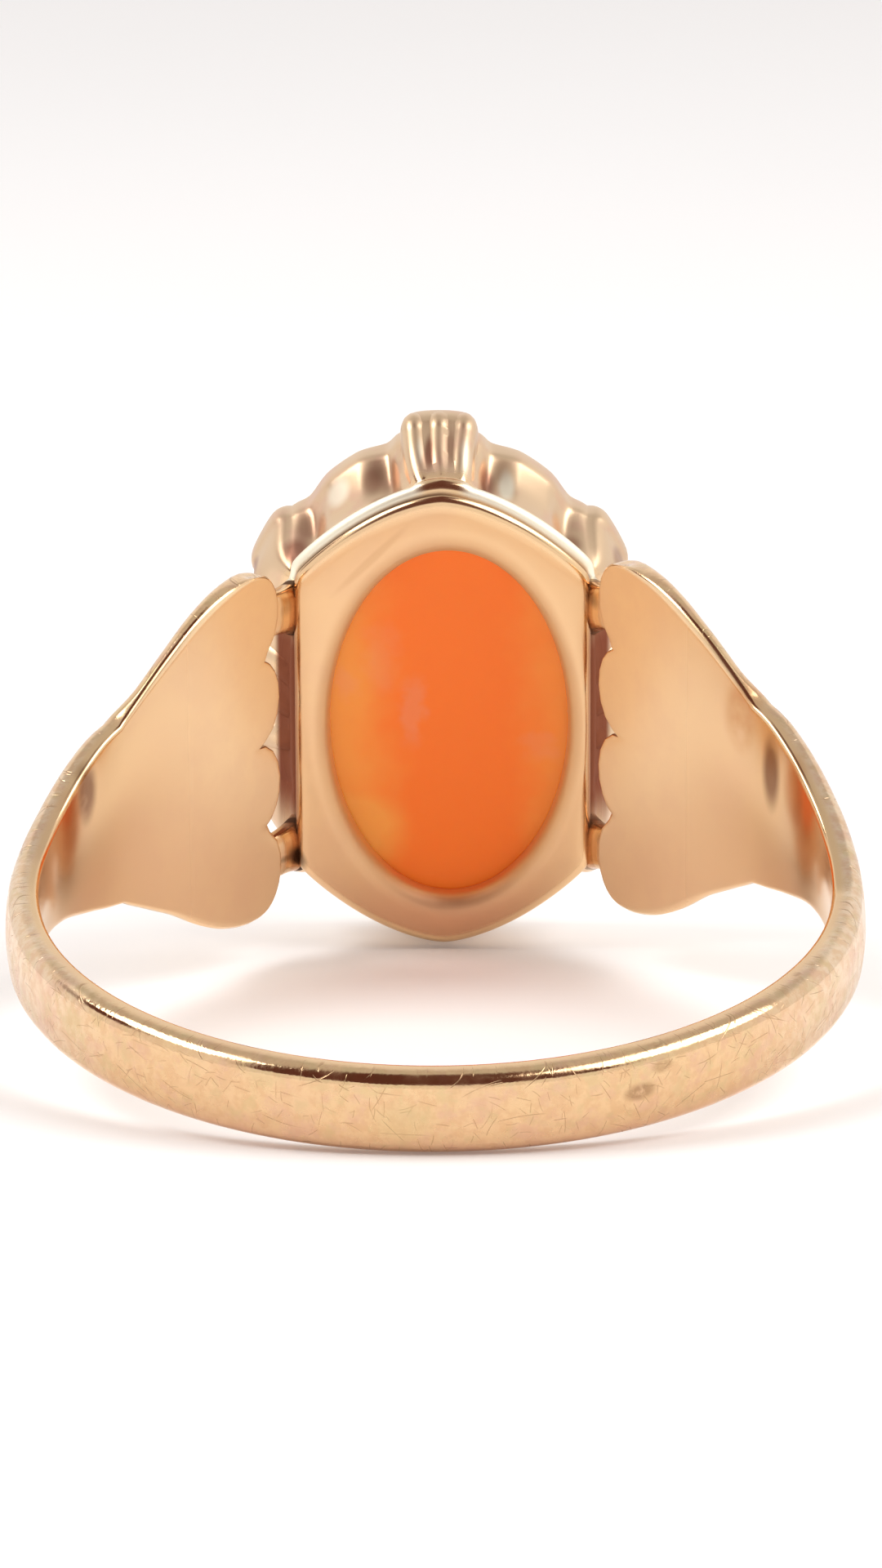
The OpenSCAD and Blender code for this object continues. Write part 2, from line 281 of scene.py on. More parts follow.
# Band and shoulders
band = {
    "thickness": 0.75,
    "width": 1.9,
    "crown": 0.12,
    "outerEdge": 0.3,
    "innerEdge": 0.12,
    "drawnInside": 0.2,
    "step": 0.3,
}
shoulder = {
    "width": 8.7,
    "thickness": 0.75,
    "leaveAngle": 126,
    "bend": 5,
    "gap": 0.6,
    "notch": 0.85,
    "skew": 0.25,
    "rise": 0.45,
    "lobes": 4,
    "columnsPerLobe": 8,
    "step": 0.25,
    "thinFrom": 0.95,
    "thinRun": 0.25,
    "boreRun": 4.5,
    "endStep": 0.42,
}
# Place (0 back of the band, 1 start of the shoulder, 2 its end), share of the shoulder's width
widthRows = [(0.6, 0), (0.77, 0.03), (0.85, 0.11), (0.93, 0.26), (0.98, 0.35), (1.13, 0.49),
             (1.34, 0.67), (1.56, 0.86), (1.71, 0.95), (1.83, 0.99), (1.9, 1), (2, 0.98)]
# Place, share of the rise, share of the skew
bendRows = [(0.7, 0, 0), (0.9, 0.7, 0.85), (1, 0.95, 1), (1.3, 1, 0.95), (1.5, 0.8, 0.8), (2, 0.15, 0.6)]

head = {
    "rise": 1.85,
    "depth": 3.4,
    "openingWidth": 5.5,
    "openingHeight": 8.75,
    "plateWidth": 6.85,
    "plateHeight": 11.4,
    "plateOff": (0.08, 0, -0.1),
    "openingOff": (0.22, 0, -0.25),
    "plateThickness": 0.42,
    "flange": 0.34,
    "bezelWidth": 9.3,
    "bezelHeight": 12,
    "bezelWall": 0.4,
    "bezelDepth": 0.75,
    "hollow": 0.25,
    "angles": 480,
    "flankWidth": 1.54,
    "flankSquareness": 1.6,
    "plateGap": 0.08,
    "seatDepth": 0.28,
    "ledge": 0.45,
    "domeDrop": 0.14,
    "cutSoftness": 0.12,
}
headBack = fingerRadius + head["rise"]

pathRadius = fingerRadius - band["drawnInside"]
roundLength = pathRadius * math.radians(shoulder["leaveAngle"])
leaveAngle = math.radians(shoulder["leaveAngle"])
bendAngle = math.radians(shoulder["bend"])
leaveAcross = pathRadius * math.sin(leaveAngle)
leaveForward = -pathRadius * math.cos(leaveAngle)
shoulderLength = ((headBack - shoulder["gap"] - leaveForward) * bendAngle
                  / (math.cos(leaveAngle - bendAngle) - math.cos(leaveAngle)))
lobeHalf = 1 / shoulder["lobes"]


# Place and heading on the inner path of the sheet
def pathAt(s):
    if s <= roundLength:
        a = s / pathRadius
        return pathRadius * math.sin(a), -pathRadius * math.cos(a), a
    a = leaveAngle - bendAngle * (s - roundLength) / shoulderLength
    spread = shoulderLength / bendAngle
    return (leaveAcross + spread * (math.sin(leaveAngle) - math.sin(a)),
            leaveForward + spread * (math.cos(a) - math.cos(leaveAngle)), a)


def halfWidth(place):
    return mix(band["width"], shoulder["width"], readTable(widthRows, place)) / 2


def thicknessAt(place):
    thinned = ease((place - shoulder["thinFrom"]) / shoulder["thinRun"])
    return mix(band["thickness"] + band["drawnInside"], shoulder["thickness"], thinned)


# How far the lobes reach at a share of the half width
def reachAt(share):
    x = share * shoulder["lobes"] / 2
    y = 2 * (x - math.floor(x + 1e-6)) - 1
    return shoulderLength - shoulder["notch"] * (1 - math.sqrt(max(0, 1 - y * y)))


# Distance of a point of the sheet from its edge
def edgeDistance(share, half, along):
    sides = (1 - abs(share)) * half
    if along < shoulderLength / 2:
        return sides
    lobeWidth = half * lobeHalf
    lobe = math.floor(min(abs(share), 0.9999) / (2 * lobeHalf))
    across = abs(share) * half - (2 * lobe + 1) * lobeWidth
    past = along - (shoulderLength - shoulder["notch"])
    if past > 0:
        reached = math.hypot(across / lobeWidth, past / shoulder["notch"])
        end = (1 - reached) * (lobeWidth + shoulder["notch"]) / 2
    else:
        end = math.hypot(lobeWidth - abs(across), past)
    return max(0, min(sides, end))


def rounding(distance, radius):
    short = max(0, radius - distance)
    return radius - math.sqrt(radius ** 2 - short ** 2)


# Keeps the inner face out of the finger's circle, which it leaves gently
def boreOffset(s):
    return (fingerRadius - pathRadius) * (1 - ease((s - roundLength) / shoulder["boreRun"]))


def sheetPoint(side, s, place, share, outer):
    across, forward, heading = pathAt(s)
    distance = edgeDistance(share, halfWidth(place), s - roundLength)
    if outer:
        off = thicknessAt(place) - band["crown"] * share * share - rounding(distance, band["outerEdge"])
    else:
        off = boreOffset(s) + rounding(distance, band["innerEdge"])
    lift = shoulder["rise"] * readTable(bendRows, place, 1)
    lift += side * shoulder["skew"] * readTable(bendRows, place, 2)
    return (side * (across + off * math.sin(heading)), forward - off * math.cos(heading),
            share * halfWidth(place) + lift)


# Distances of the close rows and columns from the edge
edgeSteps = [0, 0.01, 0.03, 0.06, 0.1, 0.15, 0.21, 0.3]


def makeSheet():
    # Columns: evenly turned round each lobe, with a few more beside the edges
    count = shoulder["lobes"] * shoulder["columnsPerLobe"]
    inner = []
    for j in range(count + 1):
        x = j / shoulder["columnsPerLobe"]
        whole = min(math.floor(x), shoulder["lobes"] - 1)
        inner.append((whole + (1 - math.cos(math.pi * (x - whole))) / 2) * 2 / shoulder["lobes"] - 1)
    # Rows: even along the band, with a few more beside the ends of the lobes
    rows = []
    bandRows = round(roundLength / band["step"])
    for i in range(bandRows + 1):
        rows.append((roundLength * i / bandRows, None))
    shoulderRows = round(shoulderLength / shoulder["step"])
    endSteps = [*edgeSteps, shoulder["endStep"]]
    for i in range(1, shoulderRows):
        along = shoulderLength * i / shoulderRows
        if along < shoulderLength - endSteps[-1] - shoulder["step"] / 2:
            rows.append((roundLength + along, along))
    rows += [(roundLength + shoulderLength - step, shoulderLength - step) for step in reversed(endSteps)]

    def rowPoints(side, s, along, outer):
        place = s / roundLength if along is None else 1 + along / shoulderLength
        half = halfWidth(place)
        margin = edgeSteps[-1] / half
        shares = [-1 + step / half for step in edgeSteps[:-1]]
        shares += [x * (1 - margin) for x in inner]
        shares += [1 - step / half for step in reversed(edgeSteps[:-1])]
        points = []
        for share in shares:
            own = s if along is None else roundLength + along * reachAt(share) / shoulderLength
            points.append(sheetPoint(side, own, place, share, outer))
        return points

    stations = [(-1, *row) for row in reversed(rows[1:])] + [(1, *row) for row in rows]
    loops = [rowPoints(*station, False)[::-1] + rowPoints(*station, True) for station in stations]
    size = len(loops[0])
    faces = loopFaces(len(loops), size, False)
    for start in (0, (len(loops) - 1) * size):
        faces += [(start + j, start + j + 1, start + size - 2 - j, start + size - 1 - j)
                  for j in range(size // 2 - 1)]
    return faceOutwards(makePiece("sheet", [p for loop in loops for p in loop], faces))


# Head: a ring of profiles round the oval opening
claws = {
    "endWidth": 2.1,
    "endOut": 0.55,
    "plainWidth": 1.6,
    "plainOut": 0.3,
    "plainAngle": 56.5,
    "sideWidth": 4.4,
    "sideOut": 0.35,
    "underRibs": 0.9,
    "hollowRun": 5,
    "hollowFade": 9,
    "hollowDeep": 1.7,
    "hollowSwell": 1.1,
}
rim = headBack + head["depth"]
girdleDepth = rim - head["bezelDepth"]
uncut = 100
plainRow = (False, claws["plainWidth"], claws["plainOut"])
endRow = (True, claws["endWidth"], claws["endOut"])
sideRow = (True, claws["sideWidth"], claws["sideOut"])
clawRows = [(0, *endRow), (claws["plainAngle"], *plainRow), (90, *sideRow),
            (180 - claws["plainAngle"], *plainRow), (180, *endRow), (180 + claws["plainAngle"], *plainRow),
            (270, *sideRow), (360 - claws["plainAngle"], *plainRow)]
ovalGirth = math.pi * (head["bezelWidth"] + head["bezelHeight"])


def turned(angle):
    return (angle + 540) % 360 - 180


def clawHalfAngle(row):
    return row[2] * 360 / ovalGirth


def clawOut(angle):
    best = 0
    for row in clawRows:
        x = turned(angle - row[0]) / clawHalfAngle(row)
        if abs(x) < 1:
            best = max(best, row[3] * (claws["underRibs"] if row[1] else 1) * (1 - x ** 6))
    return best


# The wall is hollowed beside each claw and swells again between two of them
def hollowShare(angle):
    clear = min(abs(turned(angle - row[0])) - clawHalfAngle(row) for row in clawRows)
    swell = claws["hollowSwell"] * ease((clear - claws["hollowRun"]) / claws["hollowFade"])
    return ease(clear / claws["hollowRun"]) * (claws["hollowDeep"] - swell)


# Point of an oval; cut softly flattens its sides
def ovalPoint(halfW, halfH, square, angle, cut=uncut):
    sine, cosine = math.sin(math.radians(angle)), math.cos(math.radians(angle))
    across = halfW * abs(sine) ** (2 / square)
    if cut < uncut:
        across = cut - softMax(cut - across, head["cutSoftness"])
    return math.copysign(across, sine), math.copysign(halfH * abs(cosine) ** (2 / square), cosine)


side = head["plateWidth"] / 2
tip = head["plateHeight"] / 2
flankWidth = head["flankWidth"] * side
flank = head["flankSquareness"]
flangeBack = headBack + head["plateThickness"] + head["plateGap"]
flangeFront = flangeBack + head["flange"]
seat = headBack + head["plateThickness"] + head["seatDepth"]
ledge = head["ledge"]
openW, openH = head["openingWidth"] / 2, head["openingHeight"] / 2
seatW, seatH = openW + ledge, openH + ledge
bezelW, bezelH = head["bezelWidth"] / 2, head["bezelHeight"] / 2
girdleW, girdleH = bezelW - head["bezelWall"], bezelH - head["bezelWall"]
domeEdge = rim - head["domeDrop"]
centred = (0, 0, 0)
plateOff, openingOff = head["plateOff"], head["openingOff"]
halfOff = tuple(x / 2 for x in plateOff)
# Half width, half height, depth, squareness, cut, claw share, hollow share, rounding of the corner,
# place of the middle
headRows = [
    (openW, openH, headBack + 0.38, 2, uncut, 0, 0, 0.1, openingOff),
    (openW + 0.1, openH + 0.12, headBack + 0.14, 2, uncut, 0, 0, 0.2, openingOff),
    (openW + 0.42, openH + 0.42, headBack, 1.9, side - 0.18, 0, 0, 0.3, openingOff),
    (flankWidth - 0.12, tip - 0.15, headBack + 0.05, flank, side - 0.06, 0, 0, 0.3, plateOff),
    (flankWidth, tip, headBack + 0.22, flank, side, 0, 0, 0.05, plateOff),
    (flankWidth - 0.3, tip - 0.26, headBack + head["plateThickness"], flank, side - 0.18, 0, 0, 0.05,
     plateOff),
    (flankWidth + 0.06, tip + 0.04, flangeBack, flank, side + 0.02, 0, 0, 0.17, plateOff),
    (flankWidth + 0.2, tip + 0.16, mix(flangeBack, flangeFront, 0.5), flank, side + 0.1, 0.1, 0, 0.17,
     plateOff),
    (flankWidth - 0.02, tip - 0.02, flangeFront, flank, side + 0.02, 0.3, 0, 0.17, plateOff),
    (mix(flankWidth, bezelW, 0.7), bezelH - 0.38, mix(flangeFront, girdleDepth, 0.26), 1.8, side + 0.3,
     0.6, 0.7, 0.4, halfOff),
    (mix(flankWidth, bezelW, 0.9), bezelH - 0.3, mix(flangeFront, girdleDepth, 0.55), 1.9, side + 0.75,
     0.85, 1, 0.5, centred),
    (bezelW - 0.08, bezelH - 0.08, girdleDepth - 0.2, 2, uncut, 0.95, 0.7, 0.2, centred),
    (bezelW, bezelH, girdleDepth, 2, uncut, 1, 0.5, 0.16, centred),
    (bezelW, bezelH, rim - 0.3, 2, uncut, 1, 0.5, 0.2, centred),
    (bezelW - 0.1, bezelH - 0.1, rim, 2, uncut, 0.8, 0.3, 0.12, centred),
    (girdleW - 0.1, girdleH - 0.1, rim, 2, uncut, 0, 0, 0.08, centred),
    (girdleW - 0.12, girdleH - 0.12, rim - 0.08, 2, uncut, 0, 0, 0.03, centred),
    (girdleW + 0.02, girdleH + 0.02, domeEdge + 0.02, 2, uncut, 0, 0, 0.03, centred),
    (girdleW + 0.02, girdleH + 0.02, girdleDepth - 0.02, 2, uncut, 0, 0, 0.05, centred),
    (seatW + 0.02, seatH + 0.02, seat + ledge, 2, uncut, 0, 0, 0.05, centred),
    (seatW + 0.02, seatH + 0.02, seat, 2, uncut, 0, 0, 0.05, centred),
    (openW, openH, seat, 2, uncut, 0, 0, 0.05, openingOff),
]


def headPoint(row, angle, extra=0, clawed=True):
    halfW, halfH, depth, square, cut, clawShare, hollowPart, _, off = row
    across, up = ovalPoint(halfW, halfH, square, angle, cut)
    facing = Vector((across / halfW ** 2, 0, up / halfH ** 2)).normalized()
    out = extra - hollowPart * head["hollow"] * hollowShare(angle)
    out += clawShare * clawOut(angle) if clawed else 0
    return Vector((across, depth, up)) + Vector(off) + facing * out


# Closed profile with each corner drawn as a short curve
def roundedProfile(corners, radii, steps=4):
    points = []
    for i, corner in enumerate(corners):
        before, after = corners[i - 1] - corner, corners[(i + 1) % len(corners)] - corner
        a = corner + before.normalized() * min(radii[i], before.length * 0.45)
        b = corner + after.normalized() * min(radii[i], after.length * 0.45)
        for k in range(steps):
            t = k / (steps - 1)
            points.append(a * (1 - t) ** 2 + corner * 2 * t * (1 - t) + b * t * t)
    return points


def makeHead():
    radii = [row[7] for row in headRows]
    loops = [roundedProfile([headPoint(row, 360 * k / head["angles"]) for row in headRows], radii)
             for k in range(head["angles"])]
    faces = loopFaces(len(loops), len(loops[0]), True)
    return faceOutwards(makePiece("head", [p for loop in loops for p in loop], faces))


# Ribs of the claws: half-sunk rods that follow the wall from the flange to the rim. The taper is the
# share of the radius at a share of the rib's length, at its ends and then between them
ribs = {
    "endRadius": 0.31,
    "endPitch": 6.6,
    "sideRadius": 0.42,
    "sidePitch": 11.5,
    "firstRow": 7,
    "lastRow": 14,
    "sides": 14,
    "pointsPerRib": 36,
    "taperEnds": ((0, 0.15), (1, 0.1)),
    "taper": ((0.06, 0.75), (0.16, 1), (0.72, 1), (0.84, 0.75)),
}


def ribTree():
    tree = Shaping("ribsOnClaws",
                   {"Geometry": "Geometry", "Points": "Int", "Sides": "Int", "Material": "Material"})
    given = tree.given
    curve = tree.made("GeometryNodeMeshToCurve", {"Mesh": given["Geometry"]})
    curve = tree.made("GeometryNodeCurveSplineType", {"Curve": curve}, spline_type="CATMULL_ROM")
    curve = tree.made("GeometryNodeResampleCurve", {"Curve": curve, "Count": given["Points"]})
    thick = tree.add("GeometryNodeInputNamedAttribute", data_type="FLOAT")
    thick.inputs["Name"].default_value = "ribRadius"
    taper = tree.add("ShaderNodeFloatCurve")
    shape = taper.mapping.curves[0]
    for point, place in zip(shape.points, ribs["taperEnds"]):
        point.location = place
    for x, y in ribs["taper"]:
        shape.points.new(x, y)
    tree.link(tree.add("GeometryNodeSplineParameter").outputs["Factor"], taper.inputs["Value"])
    radius = tree.times(taper.outputs["Value"], thick.outputs["Attribute"])
    curve = tree.made("GeometryNodeSetCurveRadius", {"Curve": curve, "Radius": radius})
    profile = tree.made("GeometryNodeCurvePrimitiveCircle", {"Resolution": given["Sides"], "Radius": 1})
    sweep = tree.add("GeometryNodeCurveToMesh")
    sweep.inputs["Fill Caps"].default_value = True
    tree.link(curve, sweep.inputs["Curve"])
    tree.link(profile, sweep.inputs["Profile Curve"])
    if "Scale" in sweep.inputs:
        tree.link(tree.add("GeometryNodeInputRadius").outputs["Radius"], sweep.inputs["Scale"])
    return tree.close(tree.made("GeometryNodeRealizeInstances", {"Geometry": sweep.outputs["Mesh"]}))


def makeRibs(gold):
    points, edges, radii = [], [], []
    for row in (r for r in clawRows if r[1]):
        ends = row[0] % 180 == 0
        radius = ribs["endRadius"] if ends else ribs["sideRadius"]
        pitch = ribs["endPitch"] if ends else ribs["sidePitch"]
        for k in (-1, 0, 1):
            first = len(points)
            for i in range(ribs["firstRow"], ribs["lastRow"] + 1):
                sunk = headRows[i][5] * row[3] - radius
                points.append(headPoint(headRows[i], row[0] + k * pitch, sunk, clawed=False))
                radii.append(radius * millimetre)
            edges += [(i, i + 1) for i in range(first, len(points) - 1)]
    mesh = bpy.data.meshes.new("ribs")
    mesh.from_pydata([toWorld @ p for p in points], edges, [])
    mesh.attributes.new("ribRadius", "FLOAT", "POINT").data.foreach_set("value", radii)
    return faceOutwards(bake(addObject("ribs", mesh), ribTree(), {
        "Points": ribs["pointsPerRib"], "Sides": ribs["sides"], "Material": gold}))


# Arms from the corner lobes of the shoulders to the head
arms = {
    "width": 1.1,
    "thickness": 0.6,
    "spread": 0.45,
    "place": 0.75,
    "footHeight": 3,
    "drop": 0.4,
    "sides": 32,
    "steps": 16,
}


def makeArm(sideSign, up):
    along = arms["place"] * shoulderLength
    place, share = 1 + arms["place"], up * arms["place"]
    own = roundLength + along * reachAt(share) / shoulderLength
    lobe = (Vector(sheetPoint(sideSign, own, place, share, False))
            + Vector(sheetPoint(sideSign, own, place, share, True))) / 2
    foot = Vector((sideSign * (side - arms["thickness"] / 6) + plateOff[0], (flangeBack + flangeFront) / 2,
                   up * arms["footHeight"] - arms["drop"]))
    loops = []
    for i in range(arms["steps"] + 1):
        t = i / arms["steps"]
        spread = 1 + arms["spread"] * abs(2 * t - 1) ** 3
        centre = lobe.lerp(foot, t)
        loops.append([centre + Vector((q[0], 0, q[1])) for q in (
            ovalPoint(arms["thickness"] / 2, arms["width"] / 2 * spread, 3, 360 * k / arms["sides"])
            for k in range(arms["sides"]))])
    points = [p for loop in loops for p in loop]
    faces = loopFaces(len(loops), arms["sides"], False)
    faces.append(tuple(range(arms["sides"])))
    faces.append(tuple(range(len(points) - arms["sides"], len(points))))
    return faceOutwards(makePiece("arm", points, faces))


# Material with one shader; upright holds ring coordinates in millimetres: X across, Y towards the
# head, Z along the finger
class Paint(Nodes):
    def __init__(self, name):
        self.material = bpy.data.materials.new(name)
        self.material.use_nodes = True
        super().__init__(self.material.node_tree)
        self.tree.nodes.clear()
        self.shader = self.add("ShaderNodeBsdfPrincipled")
        self.link(self.shader.outputs[0], self.add("ShaderNodeOutputMaterial").inputs["Surface"])
        metres = self.add("ShaderNodeTexCoord").outputs["Object"]
        self.place = self.mapped(metres, scale=[1 / millimetre] * 3)
        self.upright = self.mapped(self.place, turn=(-restTilt, 0, 0))

    # Feeds the shader's inputs by their names and returns the material
    def finish(self, inputs):
        for key, value in inputs.items():
            self.feed(self.shader.inputs[key], value)
        return self.material


goldLook = {
    "band": (0.8, 0.545, 0.305, 1),
    # Paler on the lobes: the worn satin's own tone, and painted light from the camera's side
    "plate": (0.86, 0.585, 0.33, 1),
    # Painted reflection of bright walls, on the band's far sides
    "lobes": (0.93, 0.69, 0.42, 1),
    "pale": (0.86, 0.7, 0.54, 1),
    "pink": (0.72, 0.43, 0.31, 1),
    # Painted reflection and shade, low on the plate
    "rosy": (0.66, 0.34, 0.2, 1),
    # Painted highlight on the flange's bead, the wall and the claws
    "cream": (1.0, 0.92, 0.74, 1),
    "wall": (0.74, 0.53, 0.34, 1),
    # Mottling, and painted shade on a facet of the plate; also darkens the lower lobes
    "mottle": (0.7, 0.43, 0.23, 1),
    # Tarnish and painted shade on the wall and claws
    "tarnish": (0.32, 0.13, 0.08, 1),
    # Painted reflection of dark things, inside the band
    "brown": (0.17, 0.055, 0.025, 1),
    # Dirt and painted shade in the recesses, and painted shadow in the gap between the plate and the
    # flange, the slots and the corners beside the plate
    "grime": (0.1, 0.05, 0.03, 1),
    # Painted shade in the slots beside the plate
    "slotShade": (0.2, 0.05, 0.025, 1),
    # Painted reflection of the orange shell inside the band, and painted orange reflection and shade on
    # the plate's straight sides
    "rust": (0.6, 0.27, 0.1, 1),
    "scratch": (0.42, 0.25, 0.13, 1),
    "green": (0.66, 0.5, 0.26, 1),
}
goldRoughness = {"inside": 0.17, "outside": 0.25, "edge": 0.14, "lobes": 0.36, "plate": 0.28, "wall": 0.34,
                 "flange": 0.42, "lip": 0.42}
# Hair scratches, each kind one to a cell: cells per millimetre, half length, half width, spread of the
# direction in degrees, share of the cells that have one, strength
scratchRows = (
    (0.9, 0.55, 0.008, 60, 0.5, 0.7),
    (1.4, 0.36, 0.008, 180, 0.5, 0.7),
    (2.1, 0.24, 0.007, 180, 0.45, 0.55),
    (2.6, 0.16, 0.01, 180, 0.3, 0.6),
    (3.4, 0.14, 0.007, 180, 0.4, 0.6),
)
# Places with many more scratches than the rest: middle, radii
scratchedPlaces = (((-1.25, -9.4, 0.1), (0.75, 1.5, 0.6)), ((4.4, -8.4, 0.3), (1.1, 2, 0.6)))
# Marks and painted light on the gold, a stain, painted shade on a facet of the plate, tarnish and painted
# shade on the wall and claws, painted highlights, and painted shadow in the slots and corners beside the
# plate: colour, strength, middle, radii, lean
goldMarksAndPaintedLight = (
    ("green", 0.4, (-0.6, -9.4, -0.1), (0.9, 2, 0.6), 0),
    ("mottle", 0.55, (-1.55, 10.6, 4.05), (1.5, 0.3, 0.14), 45),
    ("tarnish", 0.5, (-1.15, 12.7, 5.2), (0.8, 0.7, 0.6), 0),
    ("tarnish", 0.5, (-1.55, 12.6, 5.15), (0.3, 0.7, 0.5), 0),
    ("tarnish", 0.55, (-3.05, 12.7, 4.0), (0.4, 0.7, 0.6), 0),
    ("tarnish", 0.85, (-3.3, 12.05, 3.6), (0.45, 0.6, 0.5), 0),
    ("tarnish", 0.65, (-4.2, 12.9, 2.8), (0.25, 0.4, 0.4), 0),
    ("tarnish", 0.85, (-0.22, 12.3, 5.95), (0.15, 0.75, 0.6), 0),
    ("tarnish", 0.45, (0.28, 12.5, 6.0), (0.13, 0.9, 0.6), 0),
    ("tarnish", 0.85, (1.08, 12.4, 5.2), (0.3, 0.75, 0.5), 0),
    ("tarnish", 0.7, (3.0, 12.15, 3.75), (0.38, 0.5, 0.4), 0),
    ("tarnish", 0.55, (4.15, 12.7, 3.15), (0.3, 0.5, 0.4), 0),
    ("cream", 0.7, (-2.3, 12.75, 4.75), (0.4, 0.6, 0.5), 0),
    ("cream", 0.6, (0.6, 12.3, 5.8), (0.18, 0.9, 0.6), 0),
    ("cream", 0.8, (1.55, 12.4, 5.1), (0.25, 0.8, 0.45), 0),
    ("cream", 0.5, (-0.45, 12.4, 5.9), (0.12, 0.7, 0.5), 0),
    ("grime", 0.9, (-3.62, 10.9, 2.95), (0.36, 0.8, 0.42), 0),
    ("grime", 0.9, (-3.36, 10.8, -3.45), (0.55, 0.8, 0.24), -58),
    ("grime", 0.75, (-3.75, 10.6, -3.3), (0.5, 0.8, 0.14), -20),
    ("grime", 0.9, (3.62, 10.9, 3.1), (0.3, 0.8, 0.34), 0),
    ("grime", 0.7, (3.85, 10.7, -2.85), (0.32, 0.9, 0.3), 0),
)
# Patches with uneven edges, painted reflections of dark things and of the orange shell inside the band,
# and two patches of scratches on its outside: colour, strength, middle, radii, size of the unevenness
goldReflectionsAndScuffs = (
    ("brown", 0.75, (-7.85, 3.9, 1.35), (0.42, 0.6, 0.95), 0.5),
    ("rust", 0.6, (-8.2, 3.1, 0.9), (0.5, 0.7, 1.0), 0.5),
    ("rust", 0.6, (6.85, 5.5, 2.5), (0.7, 0.8, 1.1), 0.5),
    ("brown", 0.75, (7.5, 4.5, 1.55), (0.34, 0.55, 1.15), 0.5),
    ("rust", 0.7, (8.0, 3.6, 1.5), (0.45, 0.7, 1.1), 0.5),
    ("scratch", 0.9, (4.43, -8.4, 0.1), (0.46, 1.5, 0.26), 4.5),
    ("scratch", 0.6, (4.9, -8.1, 0.56), (0.3, 1.5, 0.2), 4.5),
)
# How steeply the light on the lobes turns towards the palm, and from where on
lobeLean = {"slope": 0.34, "start": 6.0, "soft": 3.0}
# Strength and distance in metres of the bumps
goldBumps = {"worn": (0.4, 0.0001), "leaning": (1.0, 0.001)}
# Edges of each piece stay sharp above these angles
sharpAngles = {"ring": 38, "ground": 35, "relief": 50}


# One on each kind of surface of the ring: outer face and rounded edges of the band, inner faces,
# lobes, plate, the opening's lip, the wall, flange, the gap behind the plate, the slots beside it, the
# rim of the plate's straight sides, and all that lies outside the opening
def goldMasks(paint):
    calc, times, plus, ramp = paint.math, paint.times, paint.plus, paint.ramp
    across, forward, up = paint.split(paint.upright)
    radius = calc("SQRT", plus(times(across, across), times(forward, forward)))
    normal = paint.add("ShaderNodeNewGeometry").outputs["Normal"]
    facing = paint.vector("DOT_PRODUCT", normal, paint.place)
    climb = calc("ABSOLUTE", paint.split(paint.mapped(normal, turn=(-restTilt, 0, 0)))["Z"])
    aside = calc("ABSOLUTE", calc("SUBTRACT", across, plateOff[0]))
    ownX = calc("DIVIDE", calc("SUBTRACT", across, openingOff[0]), head["openingWidth"] / 2)
    ownZ = calc("DIVIDE", calc("SUBTRACT", up, openingOff[2]), head["openingHeight"] / 2)
    fromOpening = calc("SQRT", plus(times(ownX, ownX), times(ownZ, ownZ)))
    outer = ramp(fromOpening, 1.03, 1.08)
    outside = times(ramp(radius, fingerRadius + 0.15, fingerRadius + 0.35),
                    times(ramp(forward, headBack - 0.2, headBack - 1.5), ramp(facing, -4, -1)))
    flange = times(outer, paint.within(forward, flangeBack, flangeFront + 0.02, 0.05))
    slotShade = times(paint.within(aside, side - 0.02, side + 0.34, 0.16),
                 paint.within(forward, headBack + 0.34, headBack + 1.3, 0.5))
    return {
        "outside": outside,
        "edge": times(paint.within(climb, 0.25, 0.96, 0.08), outside),
        "inside": ramp(facing, -4, -6.5),
        "lobes": times(ramp(facing, -4, -6.5),
                       times(ramp(forward, 4.5, 9.2), ramp(forward, headBack - 0.2, headBack - 0.4))),
        "plate": times(ramp(facing, -8, -9.5), ramp(forward, headBack - 0.35, headBack - 0.1)),
        "lip": times(ramp(fromOpening, 1.16, 1.08), ramp(forward, headBack - 0.1, headBack)),
        "wall": ramp(forward, flangeFront + 0.05, flangeFront + 0.4),
        "flange": times(flange, times(ramp(up, 2.2, 2.7), ramp(aside, 0.3, 0.7))),
        # The gap between the plate and the flange, which gets a painted shadow
        "gap": times(outer, paint.within(forward, headBack + 0.3, flangeBack - 0.05, 0.05)),
        "slotShade": times(slotShade, ramp(calc("ABSOLUTE", plus(up, 0.3)), 3.5, 1.8)),
        "rim": times(paint.within(aside, side - 0.04, side + 0.1, 0.12),
                     paint.within(forward, headBack - 0.05, headBack + 0.3, 0.1)),
        "outer": outer,
    }


